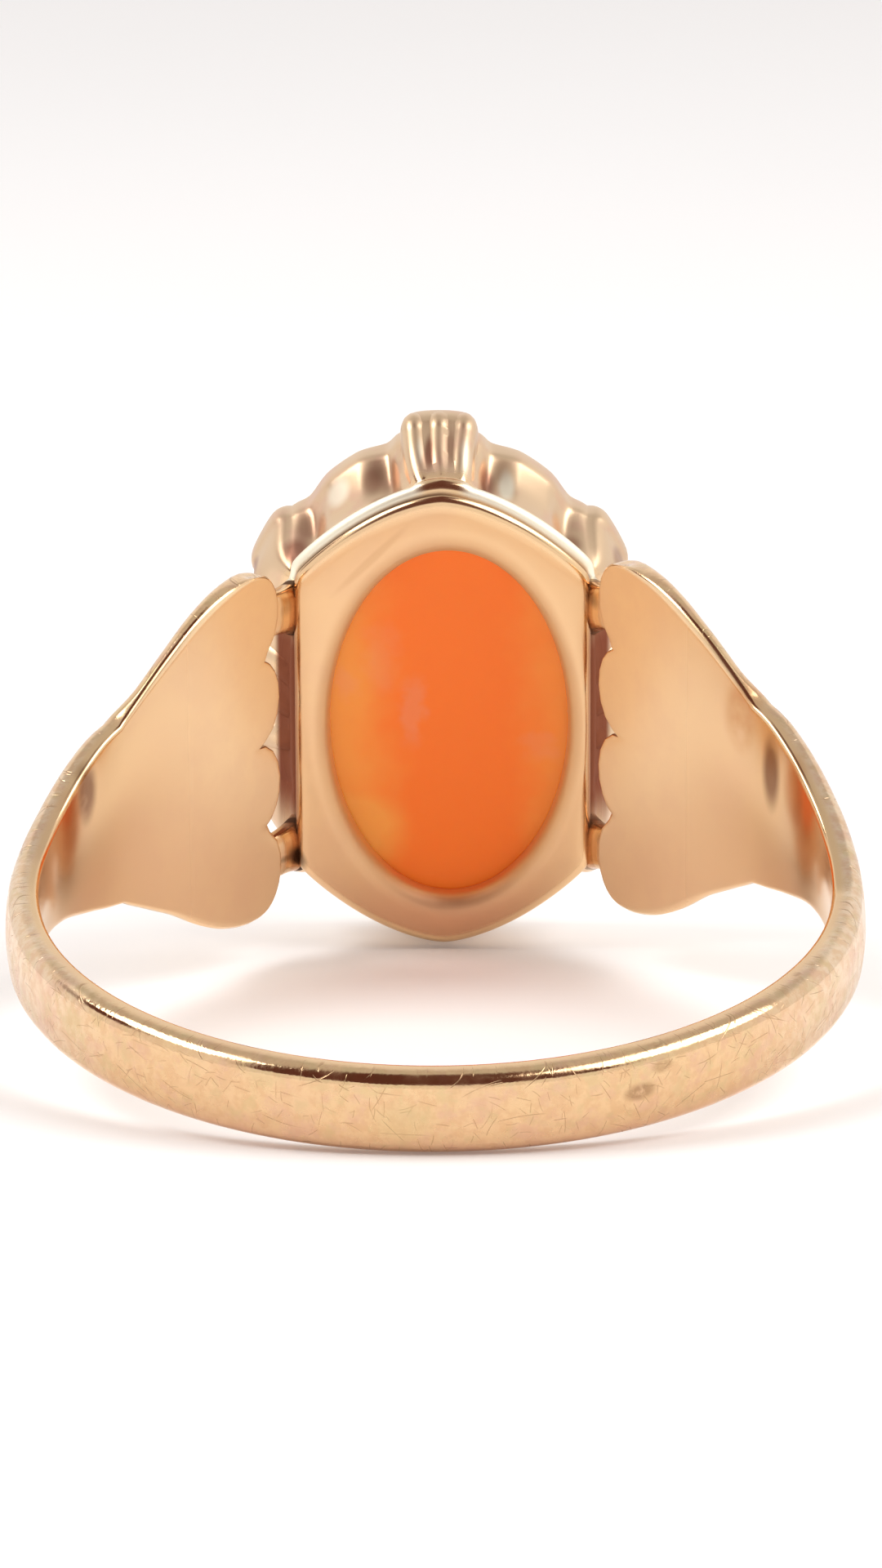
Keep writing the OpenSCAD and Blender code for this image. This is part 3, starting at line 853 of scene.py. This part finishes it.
# Each scratch is a thin arc through the middle of its cell, turned and bent by the cell's own colour
def goldScratches(paint):
    calc, times, plus = paint.math, paint.times, paint.plus
    across, forward, up = paint.split(paint.upright)
    turn = calc("ARCTAN2", across, times(forward, -1.0))
    unrolled = paint.add("ShaderNodeCombineXYZ")
    paint.link(times(turn, fingerRadius), unrolled.inputs["X"])
    paint.link(up, unrolled.inputs["Y"])
    extra = 0.0
    for centre, radii in scratchedPlaces:
        extra = calc("MAXIMUM", extra, paint.spot(paint.upright, centre, radii))
    scratches = 0.0
    for i, (cells, length, width, spread, share, strength) in enumerate(scratchRows):
        spread = math.radians(spread)
        place = paint.mapped(unrolled.outputs[0], scale=(cells, cells, 1), shift=(7.3 * i, 3.1 * i, 0))
        cell = paint.add("ShaderNodeTexVoronoi", voronoi_dimensions="2D")
        cell.inputs["Scale"].default_value = 1.0
        paint.link(place, cell.inputs["Vector"])
        fromMiddle = paint.split(paint.vector("SUBTRACT", place, cell.outputs["Position"]))
        own = paint.split(cell.outputs["Color"])
        angle = calc("MULTIPLY_ADD", own["X"], spread, -spread / 2)
        cosine, sine = calc("COSINE", angle), calc("SINE", angle)
        along = plus(times(fromMiddle["X"], cosine), times(fromMiddle["Y"], sine))
        beside = calc("SUBTRACT", times(fromMiddle["Y"], cosine),
                      times(fromMiddle["X"], sine))
        bend = times(calc("MULTIPLY_ADD", own["Z"], 0.6, -0.3), times(along, along))
        beside = calc("ABSOLUTE", plus(beside, bend))
        line = paint.ramp(beside, width * cells * 1.5, width * cells * 0.5)
        line = times(line, paint.ramp(calc("ABSOLUTE", along), length * cells, length * cells * 0.6))
        kept = plus(plus(own["Y"], times(extra, 0.35)),
                    paint.ramp(paint.noise(unrolled.outputs[0], 0.7, 2.0), 0.35, 0.65, -0.12, 0.12))
        kept = paint.ramp(kept, 1 - share, 1.15 - share, 0, strength)
        scratches = calc("MAXIMUM", scratches, times(line, kept))
    return scratches


def goldMaterial():
    paint = Paint("wornGold")
    calc, times, plus = paint.math, paint.times, paint.plus
    ramp, noise, upright = paint.ramp, paint.noise, paint.upright
    across, forward, up = paint.split(upright)
    masks = goldMasks(paint)
    outside = masks["outside"]
    scratches = times(goldScratches(paint), outside)
    recess = paint.add("ShaderNodeAttribute", attribute_name="recess").outputs["Fac"]
    colour = goldLook["band"]

    def lay(share, name, amount=1.0):
        nonlocal colour
        colour = paint.blend(times(share, amount), colour, goldLook[name])

    def cloud(scale, shift, low, high):
        return ramp(noise(paint.mapped(upright, shift=(shift, 0, 0)), scale, 4.0, 0.6), low, high)

    # Painted reflection: the band paler towards its far sides
    lay(times(ramp(calc("ABSOLUTE", across), 6.4, 9.0), outside), "pale", 0.6)
    lay(ramp(forward, 6.5, 9), "plate")
    # Lobes paler: their own satin tone, and painted light from the camera's side
    lay(masks["lobes"], "lobes")
    # Lobes darker and more orange towards the bottom
    lay(times(masks["lobes"], ramp(up, 0.8, -2.6)), "mottle", 0.36)
    lay(times(masks["lobes"], ramp(calc("ABSOLUTE", across), 4.8, 6.8)), "pink", 0.3)
    lay(times(cloud(4.0, 0, 0.4, 0.62), outside), "mottle", 0.55)
    lay(times(cloud(2.0, 20, 0.48, 0.66), outside), "green", 0.5)
    lay(times(cloud(1.6, 40, 0.5, 0.68), outside), "pink", 0.45)
    lay(cloud(0.6, 60, 0.4, 0.65), "pink", 0.14)
    # Painted reflection and shade: the plate pinker and darker towards its bottom
    lay(times(ramp(up, -3.4, -5.4), masks["plate"]), "rosy", 0.8)
    lay(masks["wall"], "wall")
    lay(times(cloud(0.9, 80, 0.45, 0.68), masks["wall"]), "pink", 0.6)
    # Painted highlight along the flange's bead
    lay(masks["flange"], "cream")
    # Painted reflection: the band's lower edge pinker
    lay(times(ramp(up, -0.35, -0.95), ramp(forward, -5, -7)), "pink", 0.5)
    lay(scratches, "scratch", 0.85)
    # Painted orange reflection and shade on the plate's straight sides
    lay(masks["rim"], "rust", 0.75)
    # Painted reflections inside the band, and patches of scratches on its outside
    for name, strength, centre, radii, scale in goldReflectionsAndScuffs:
        uneven = cloud(scale, 5, 0.22, 0.5)
        lay(times(paint.spot(upright, centre, radii), uneven), name, strength)
    # Painted shade in the slots beside the plate
    lay(masks["slotShade"], "slotShade", 0.95)
    # Dirt and painted shade in the recesses, and a painted shadow in the gap between the plate and the
    # flange, darker on the left
    dirtAndShade = calc("MAXIMUM", times(ramp(recess, 0.4, 0.8, 0, 0.8), masks["outer"]),
                  times(masks["gap"], ramp(across, 0.6, -0.6, 0.55, 0.95)))
    lay(dirtAndShade, "grime")
    # Marks, painted highlights, and painted shade and shadows
    for name, strength, centre, radii, lean in goldMarksAndPaintedLight:
        lay(paint.spot(upright, centre, radii, lean), name, strength)

    rough = goldRoughness["inside"]
    for name in ("outside", "lobes", "plate", "wall", "flange", "lip"):
        rough = plus(rough, times(masks[name], goldRoughness[name] - goldRoughness["inside"]))
    rough = plus(rough, times(ramp(noise(upright, 1.1, 4.0), 0.35, 0.7, -0.05, 0.09), outside))
    edge = times(masks["edge"], goldRoughness["edge"] - goldRoughness["outside"])
    rough = plus(plus(rough, edge), times(calc("MAXIMUM", dirtAndShade, scratches), 0.2))
    # The painted shade in the slots, and the dirt and painted shade in the recesses and the gap, are
    # barely metal
    dull = calc("MAXIMUM", times(masks["slotShade"], 0.95), times(dirtAndShade, 0.8))

    fine = plus(times(scratches, -0.12), times(noise(upright, 9.0, 3.0), 0.1))
    relief = plus(times(noise(upright, 0.8, 1.0), 0.4), times(fine, outside))
    past = calc("SUBTRACT", forward, lobeLean["start"])
    climb = plus(past, calc("SQRT", calc("MULTIPLY_ADD", past, past, lobeLean["soft"])))
    onLobes = times(masks["inside"], ramp(forward, headBack - 0.3, headBack - 0.45))
    bent = paint.add("ShaderNodeMix", data_type="VECTOR")
    paint.link(onLobes, bent.inputs["Factor"])
    paint.link(paint.bump(relief, *goldBumps["worn"]), bent.inputs[4])
    paint.link(paint.bump(times(climb, lobeLean["slope"] / 2), *goldBumps["leaning"]), bent.inputs[5])
    return paint.finish({"Base Color": colour, "Roughness": rough, "Metallic": ramp(dull, 0, 1, 1, 0.1),
                         "Specular IOR Level": 0.0, "Normal": bent.outputs[1]})


# Share of the sky that each point can't see, kept as an attribute for the dirt and painted shade in the
# recesses
recessRays = {"rays": 32, "reach": 0.0028, "spread": 0.85, "lift": 2e-6}


def markRecesses(piece):
    mesh = piece.data
    tree = BVHTree.FromObject(piece, bpy.context.evaluated_depsgraph_get())
    golden = math.pi * (3 - math.sqrt(5))
    fan = []
    for k in range(recessRays["rays"]):
        z = 1 - (k + 0.5) / recessRays["rays"] * recessRays["spread"]
        r = math.sqrt(1 - z * z)
        fan.append(Vector((r * math.cos(k * golden), r * math.sin(k * golden), z)))
    values = []
    for vertex in mesh.vertices:
        normal = vertex.normal
        turn = normal.to_track_quat("Z", "Y")
        start = vertex.co + normal * recessRays["lift"]
        hits = sum(tree.ray_cast(start, turn @ ray, recessRays["reach"])[0] is not None for ray in fan)
        values.append(hits / recessRays["rays"])
    mesh.attributes.new("recess", "FLOAT", "POINT").data.foreach_set("value", values)


gold = goldMaterial()
ring = makeSheet()
print("band and shoulders made")
for other in (makeHead(), *(makeArm(s, up) for s in (-1, 1) for up in (-1, 1)), makeRibs(gold)):
    solder(ring, other)
print("head soldered on:", len(ring.data.polygons), "faces")
ring.name = "goldRing"
dress(ring.data, gold, sharpAngles["ring"])
markRecesses(ring)
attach(ring, "root")
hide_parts("ring_mount")
print("gold ring finished")

# Shell: orange layer with its polished back, and the pale carved layer on the front
shell = {
    "domeRadius": 26,
    "clearance": 0.02,
    "dish": 0.12,
    "angles": 144,
    "rings": 14,
}
domeCentre = domeEdge - math.sqrt(shell["domeRadius"] ** 2 - girdleW ** 2)
domeTop = domeCentre + shell["domeRadius"]


def domeDepth(across, up):
    return domeCentre + math.sqrt(shell["domeRadius"] ** 2 - across * across - up * up)


def makeGround():
    # Half width, half height and depth of each loop, from the middle of the back to the middle of the
    # front; a loop without a depth lies on the dome
    back = seat + shell["clearance"]
    loops = []
    for i in range(1, shell["rings"] + 1):
        share = i / shell["rings"]
        loops.append((seatW * share, seatH * share, back + shell["dish"] * (1 - share * share)))
    loops += [(seatW, seatH, back + 0.01), (seatW, seatH, seat + ledge), (girdleW, girdleH, girdleDepth),
              (girdleW, girdleH, None)]
    for i in range(shell["rings"] - 1, 0, -1):
        share = i / shell["rings"]
        loops.append((girdleW * share, girdleH * share, None))
    points = []
    for halfW, halfH, depth in loops:
        for k in range(shell["angles"]):
            across, up = ovalPoint(halfW, halfH, 2, 360 * k / shell["angles"])
            points.append((across, domeDepth(across, up) if depth is None else depth, up))
    faces = loopFaces(len(loops), shell["angles"], False)
    for pole, nearest in (((0, back + shell["dish"], 0), 0), ((0, domeTop, 0), len(loops) - 1)):
        points.append(pole)
        start = nearest * shell["angles"]
        faces += [(start + k, start + (k + 1) % shell["angles"], len(points) - 1)
                  for k in range(shell["angles"])]
    return faceOutwards(makePiece("cameoGround", points, faces))


shellLook = {
    "yellow": (0.9, 0.34, 0.06, 1),
    "red": (0.94, 0.175, 0.015, 1),
    "milk": (0.8, 0.3, 0.16, 1),
    # Painted reflection, gold-coloured, where the shell is seen at grazing angles near the seat
    "grazingReflection": (0.8, 0.5, 0.28, 1),
    # Painted glow: the shell gives off a little light of its own
    "glow": 0.14,
    "bump": (0.12, 0.00004),
    "surface": {"Roughness": 0.35, "Specular IOR Level": 0.3, "Subsurface Weight": 0.3,
                "Subsurface Radius": (1.0, 0.35, 0.1), "Subsurface Scale": 0.001},
}
# Paler clouds inside the shell: middle, radii, strength
milkRows = (((-0.62, seat, -0.15), (0.45, 3, 1.1), 0.36), ((-1.3, seat, 1.2), (0.6, 3, 1.2), 0.2),
            ((-2.2, seat, 0.6), (0.45, 3, 0.6), 0.25), ((2.3, seat, -1.0), (0.6, 3, 0.5), 0.2))


def shellMaterial():
    paint = Paint("orangeShell")
    calc, times, plus = paint.math, paint.times, paint.plus
    ramp, noise, upright = paint.ramp, paint.noise, paint.upright
    across, forward, up = paint.split(upright)
    place = plus(across, times(calc("SUBTRACT", noise(upright, 0.4, 3.0), 0.5), 3.0))
    # Yellower at the left and the right edge and low on the left, and redder between them
    yellow = plus(ramp(place, -2.6, -0.6, 0.85, 0.1), ramp(place, 1.4, 2.8, 0, 0.45))
    yellow = plus(yellow, times(paint.spot(upright, (-1.8, seat, -3.2), (1.4, 3, 1.2)), 0.5))
    colour = paint.blend(yellow, shellLook["red"], shellLook["yellow"])
    drifting = paint.add("ShaderNodeCombineXYZ")
    for i, value in enumerate((across, forward, up)):
        wave = noise(paint.mapped(upright, shift=(9 * i, 0, 0)), 1.4, 3.0)
        shift = times(calc("SUBTRACT", wave, 0.5), 0.9)
        paint.link(plus(value, shift), drifting.inputs[i])
    for centre, radii, amount in milkRows:
        cloud = paint.spot(drifting.outputs[0], centre, radii)
        colour = paint.blend(times(cloud, amount), colour, shellLook["milk"])
    # Painted reflection: at grazing angles near the seat the shell takes a gold colour
    facing = paint.add("ShaderNodeLayerWeight")
    facing.inputs["Blend"].default_value = 0.5
    grazingReflection = times(ramp(facing.outputs["Facing"], 0.3, 0.55), ramp(forward, seat + 0.3, seat + 0.5, 1, 0))
    colour = paint.blend(grazingReflection, colour, shellLook["grazingReflection"])
    # Painted glow: the shell gives off light of its own, except where the painted reflection is
    return paint.finish({**shellLook["surface"], "Base Color": colour, "Emission Color": colour,
                         "Emission Strength": ramp(grazingReflection, 0, 1, shellLook["glow"], 0),
                         "Normal": paint.bump(noise(upright, 2.2, 2.0), *shellLook["bump"])})


ground = makeGround()
dress(ground.data, shellMaterial(), sharpAngles["ground"])
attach(ground, "root")
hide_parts("cameo_ground")
print("shell ground made")

# Carved rose spray on the dome, drawn as seen from the front of the head
rose = {
    "diameter": 5.2,
    "height": 1.05,
    "leafHeight": 0.32,
    "coreWidth": 0.86,
    "coreHeight": 0.3,
    "coreSteps": 48,
    "coreRings": 8,
    "underside": -0.5,
}


# Closed shape with a flat underside, from loops round its middle; heightAt gives the top's height
def makeTile(name, outline, heightAt, steps, rings):
    points = []
    for i in range(1, rings + 1):
        share = i / rings
        for k in range(steps):
            x, y = outline(360 * k / steps)
            points.append((x * share, y * share, heightAt(x * share, y * share, share)))
    for k in range(steps):
        x, y = outline(360 * k / steps)
        points.append((x, y, rose["underside"]))
    faces = loopFaces(rings + 1, steps, False)
    for pole, start in (((0, 0, heightAt(0, 0, 0)), 0), ((0, 0, rose["underside"]), rings * steps)):
        points.append(pole)
        faces += [(start + k, start + (k + 1) % steps, len(points) - 1) for k in range(steps)]
    return faceOutwards(makePiece(name, points, faces, Matrix.Identity(4)))


def petalOutline(angle):
    a = math.radians(angle)
    # Broad at the lip, with a slight dip in its middle, and narrower at the foot
    reach = 1 - 0.07 * math.exp(-(turned(angle) / 16) ** 2)
    return math.cos(a) * reach, math.sin(a) * (0.86 + 0.14 * math.cos(a))


def petalHeight(x, y, share):
    lip = ease((x - 0.2) / 0.6)
    cup = 0.52 + 0.48 * lip + 0.12 * y * y
    return cup * (1 - share ** 7)


def leafOutline(angle):
    a = math.radians(angle)
    tooth = 0.035 * abs(math.sin(6.5 * a))
    blade = math.sin(a) * abs(math.sin(a)) ** 0.55 * (1 - 0.12 * math.cos(a))
    return math.cos(a), blade + math.copysign(tooth, math.sin(a))


def leafHeight(x, y, share):
    vein = math.exp(-(y / 0.09) ** 2)
    sideVeins = 0.09 * math.cos(11 * (x - 0.9 * abs(y)))
    return (0.72 + 0.28 * (1 - abs(y)) + sideVeins * ease(abs(y) / 0.2) - 0.42 * vein) * (1 - share ** 6)


# Kinds of copy: outline, height of the top, steps, rings, height in millimetres, wobble
roseParts = {
    "petal": (petalOutline, petalHeight, 40, 10, rose["height"], 0.05),
    "leaf": (leafOutline, leafHeight, 72, 12, rose["leafHeight"], 0.03),
}
# Rings of copies, the petals from the outside in and then a spray of leaves above and below and a
# small leaf on each side: kind, count, distance, size, lift, tilt, first angle, step angle. Distances
# and the first two of a size are shares of the rose's radius, lifts are shares of its height, and the
# third of a size is a share of its kind's height
roseRings = (
    ("petal", 5, 0.6, (0.4, 0.47, 0.42), 0.0, 4, 18, 72),
    ("petal", 5, 0.44, (0.35, 0.4, 0.42), 0.14, 2, 52, 72),
    ("petal", 4, 0.29, (0.27, 0.33, 0.42), 0.32, -4, 10, 90),
    ("petal", 3, 0.16, (0.18, 0.24, 0.4), 0.5, -10, 60, 120),
    ("petal", 2, 0.05, (0.1, 0.13, 0.36), 0.62, -14, 20, 180),
    ("leaf", 3, 1.2, (0.6, 0.28, 1.0), 0.0, 0, 50, 40),
    ("leaf", 3, 1.2, (0.6, 0.28, 1.0), 0.0, 0, 230, 40),
    ("leaf", 2, 0.98, (0.42, 0.22, 0.9), 0.0, 0, 0, 180),
)


# Puts copies of a piece round the middle, each turned outwards, and lays them on the dome
def ringTree():
    tree = Shaping("ringOfCopies", {
        "Geometry": "Geometry", "Count": "Int", "Distance": "Float", "First Angle": "Float",
        "Step Angle": "Float", "Tilt": "Float", "Lift": "Float", "Size": "Vector", "Wobble": "Float",
        "Seed": "Int", "Dome Centre": "Float", "Dome Radius": "Float", "Material": "Material"})
    given, made, calc, times, plus = tree.given, tree.made, tree.math, tree.times, tree.plus
    line = made("GeometryNodePoints", {"Count": given["Count"]})
    number = tree.add("GeometryNodeInputIndex").outputs[0]

    def loose(shift):
        node = tree.add("FunctionNodeRandomValue", data_type="FLOAT")
        node.inputs[2].default_value, node.inputs[3].default_value = -1, 1
        tree.link(number, node.inputs["ID"])
        tree.link(plus(given["Seed"], shift), node.inputs["Seed"])
        return times(node.outputs[1], given["Wobble"])

    angle = plus(given["First Angle"], times(number, given["Step Angle"]))
    angle = calc("RADIANS", plus(angle, times(loose(0), 60.0)))
    distance = times(given["Distance"], plus(loose(20), 1.0))
    place = made("ShaderNodeCombineXYZ", {"X": times(calc("COSINE", angle), distance),
                                          "Y": times(calc("SINE", angle), distance), "Z": given["Lift"]})
    spread = made("GeometryNodeSetPosition", {"Geometry": line, "Position": place})
    turns = made("ShaderNodeCombineXYZ", {"Y": calc("RADIANS", times(given["Tilt"], -1.0)),
                                          "Z": plus(angle, loose(40))})
    copies = made("GeometryNodeInstanceOnPoints", {"Points": spread, "Instance": given["Geometry"],
                                                   "Rotation": turns, "Scale": given["Size"]})
    realized = made("GeometryNodeRealizeInstances", {"Geometry": copies})
    # The dome's depth under each point is added to the point's own height
    across, up, _ = tree.split(tree.add("GeometryNodeInputPosition").outputs[0])
    flat = plus(times(across, across), times(up, up))
    under = calc("SQRT", calc("SUBTRACT", times(given["Dome Radius"], given["Dome Radius"]), flat))
    offset = made("ShaderNodeCombineXYZ", {"Z": plus(under, given["Dome Centre"])})
    return tree.close(made("GeometryNodeSetPosition", {"Geometry": realized, "Offset": offset}))


reliefLook = {
    "pale": (0.9, 0.76, 0.62, 1),
    "thin": (0.9, 0.46, 0.2, 1),
    "bump": (0.2, 0.00003),
    "surface": {"Roughness": 0.42, "Subsurface Weight": 0.3, "Subsurface Radius": (1.0, 0.7, 0.45),
                "Subsurface Scale": 0.0006},
}


def reliefMaterial():
    paint = Paint("paleShell")
    # The pale layer thins towards the ground, where the orange shows through
    low = paint.ramp(paint.split(paint.upright)["Y"], domeTop - 0.05, domeTop + 0.4, 1, 0)
    cloud = paint.ramp(paint.noise(paint.upright, 1.3, 3.0), 0.35, 0.7, 0, 0.12)
    colour = paint.blend(paint.plus(paint.times(low, 0.35), cloud), reliefLook["pale"], reliefLook["thin"])
    return paint.finish({**reliefLook["surface"], "Base Color": colour,
                         "Normal": paint.bump(paint.noise(paint.upright, 7.0, 3.0), *reliefLook["bump"])})


def makeRelief():
    radius, parts = rose["diameter"] / 2, []
    material, tree = reliefMaterial(), ringTree()
    shared = {"Dome Centre": domeCentre, "Dome Radius": shell["domeRadius"], "Material": material}
    core = makeTile("core", lambda a: (math.cos(math.radians(a)), math.sin(math.radians(a))),
                    lambda x, y, share: 1 - share ** 4, rose["coreSteps"], rose["coreRings"])
    wide, high = rose["coreWidth"] * radius, rose["coreHeight"] * rose["height"]
    parts.append(bake(core, tree, {**shared, "Count": 1, "Distance": 0.0, "Lift": 0.0, "Tilt": 0.0,
                                   "Wobble": 0.0, "Size": (wide, wide, high)}))
    for seed, (kind, count, distance, size, lift, tilt, firstAngle, stepAngle) in enumerate(roseRings, 1):
        outline, heightAt, steps, rings, height, wobble = roseParts[kind]
        tile = makeTile(kind, outline, heightAt, steps, rings)
        parts.append(bake(tile, tree, {
            **shared, "Count": count, "Distance": distance * radius, "Lift": lift * rose["height"],
            "Tilt": float(tilt), "First Angle": float(firstAngle), "Step Angle": float(stepAngle),
            "Wobble": wobble, "Seed": seed,
            "Size": (size[0] * radius, size[1] * radius, size[2] * height)}))
    work = bmesh.new()
    for part in parts:
        work.from_mesh(part.data)
        bpy.data.objects.remove(part)
    mesh = bpy.data.meshes.new("cameoRose")
    work.to_mesh(mesh)
    work.free()
    mesh.transform(toWorld @ headOn)
    dress(mesh, material, sharpAngles["relief"])
    return addObject("cameoRose", mesh)


relief = makeRelief()
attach(relief, "root")
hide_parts("cameo_rose")
print("rose carved:", len(relief.data.polygons), "faces")

# The view: where the photograph was taken from, in the ring's own frame
view = {
    "azimuth": 0.534,
    "elevation": 25.273,
    "roll": 0.255,
    "distance": 218.6,
    "pixelsPerMm": 55.766,
    "aimAcross": 0.133,
    "aimUp": 3.397,
    "pictureHeight": 1920,
    "sensor": 36,
    "clip": (0.005, 5),
}


def makeCamera():
    a, e = math.radians(view["azimuth"]), math.radians(view["elevation"])
    aim = Vector((view["aimAcross"], 0, view["aimUp"]))
    back = Vector((math.sin(a) * math.cos(e), -math.cos(a) * math.cos(e), math.sin(e)))
    right = (-back).cross(Vector((0, 0, 1))).normalized()
    up = right.cross(-back)
    axes = Matrix((right, up, back)).transposed() @ Matrix.Rotation(-math.radians(view["roll"]), 3, "Z")
    lying = Matrix.Rotation(restTilt, 3, "X")
    lens = bpy.data.cameras.new("camera")
    lens.sensor_width = view["sensor"]
    lens.lens = view["pixelsPerMm"] * view["distance"] / view["pictureHeight"] * view["sensor"]
    lens.clip_start, lens.clip_end = view["clip"]
    camera = addObject("camera", lens)
    camera.matrix_world = (Matrix.Translation(toWorld @ (aim + back * view["distance"]))
                           @ (lying @ axes).to_4x4())
    bpy.context.scene.camera = camera


# A white room, paler above, with a dark opening in front of the ring, and two softboxes. Heights are
# sines above the horizon, openingSide is how far the opening reaches to each side, and darkNear is the
# nearness to the direction of one more dark place
studio = {
    "floorRadius": 0.8,
    "floorColour": (0.95, 0.945, 0.94, 1),
    "floorCloud": (0.8, 0.79, 0.78, 1),
    "floorGlow": 0.09,
    "walls": (1.02, 1.01, 1.0, 1),
    "ceiling": (0.66, 0.65, 0.64, 1),
    "opening": (0.13, 0.05, 0.04, 1),
    "ceilingHeight": (0.6, 0.8),
    "openingHeight": (0.26, 0.36),
    "openingSide": (-0.2, 0.02),
    "darkPlace": (-0.78, 0.11, 0.62),
    "darkNear": (0.95, 0.985),
}
# Direction from the ring, distance, width and height, power
softboxes = {
    "softboxLeft": ((-0.62, -0.08, 0.78), 0.25, (0.14, 0.09), 0.24),
    "softboxRight": ((0.6, -0.22, 0.76), 0.25, (0.2, 0.13), 0.3),
}


def makeWorld():
    world = bpy.data.worlds.new("studio")
    world.use_nodes = True
    sky = Nodes(world.node_tree)
    across, forward, up = sky.split(sky.add("ShaderNodeTexCoord").outputs["Generated"])
    shade = sky.blend(sky.ramp(up, *studio["ceilingHeight"]), studio["walls"], studio["ceiling"])
    inFront = sky.times(sky.plus(forward, sky.math("ABSOLUTE", across)), -1.0)
    opening = sky.times(sky.ramp(up, *studio["openingHeight"]), sky.ramp(inFront, *studio["openingSide"]))
    near = sky.vector("DOT_PRODUCT", sky.add("ShaderNodeTexCoord").outputs["Generated"],
                      Vector(studio["darkPlace"]).normalized())
    opening = sky.math("MAXIMUM", opening, sky.ramp(near, *studio["darkNear"]))
    shade = sky.blend(opening, shade, studio["opening"])
    sky.link(shade, world.node_tree.nodes["Background"].inputs["Color"])
    bpy.context.scene.world = world


def makeFloor():
    work = bmesh.new()
    bmesh.ops.create_circle(work, cap_ends=True, segments=96, radius=studio["floorRadius"])
    bmesh.ops.translate(work, verts=work.verts, vec=(0, 0, cadBox[0][2]))
    mesh = bpy.data.meshes.new("floor")
    work.to_mesh(mesh)
    work.free()
    floor = addObject("floor", mesh)
    paint = Paint("paleFloor")
    cloud = paint.ramp(paint.noise(paint.place, 0.04, 2.0), 0.3, 0.7, 0, 0.03)
    mesh.materials.append(paint.finish({
        "Base Color": paint.blend(cloud, studio["floorColour"], studio["floorCloud"]), "Roughness": 0.8,
        "Specular IOR Level": 0.2, "Emission Color": studio["floorColour"],
        "Emission Strength": studio["floorGlow"]}))


def makeSoftboxes():
    for name, (direction, distance, size, power) in softboxes.items():
        data = bpy.data.lights.new(name, "AREA")
        data.shape = "RECTANGLE"
        data.energy = power
        data.size, data.size_y = size
        lamp = addObject(name, data)
        lamp.location = Vector(direction).normalized() * distance
        lamp.rotation_euler = (-Vector(direction)).to_track_quat("-Z", "Y").to_euler()


makeCamera()
makeWorld()
makeFloor()
makeSoftboxes()
bpy.context.scene.view_settings.view_transform = "Standard"
print("camera and studio ready")
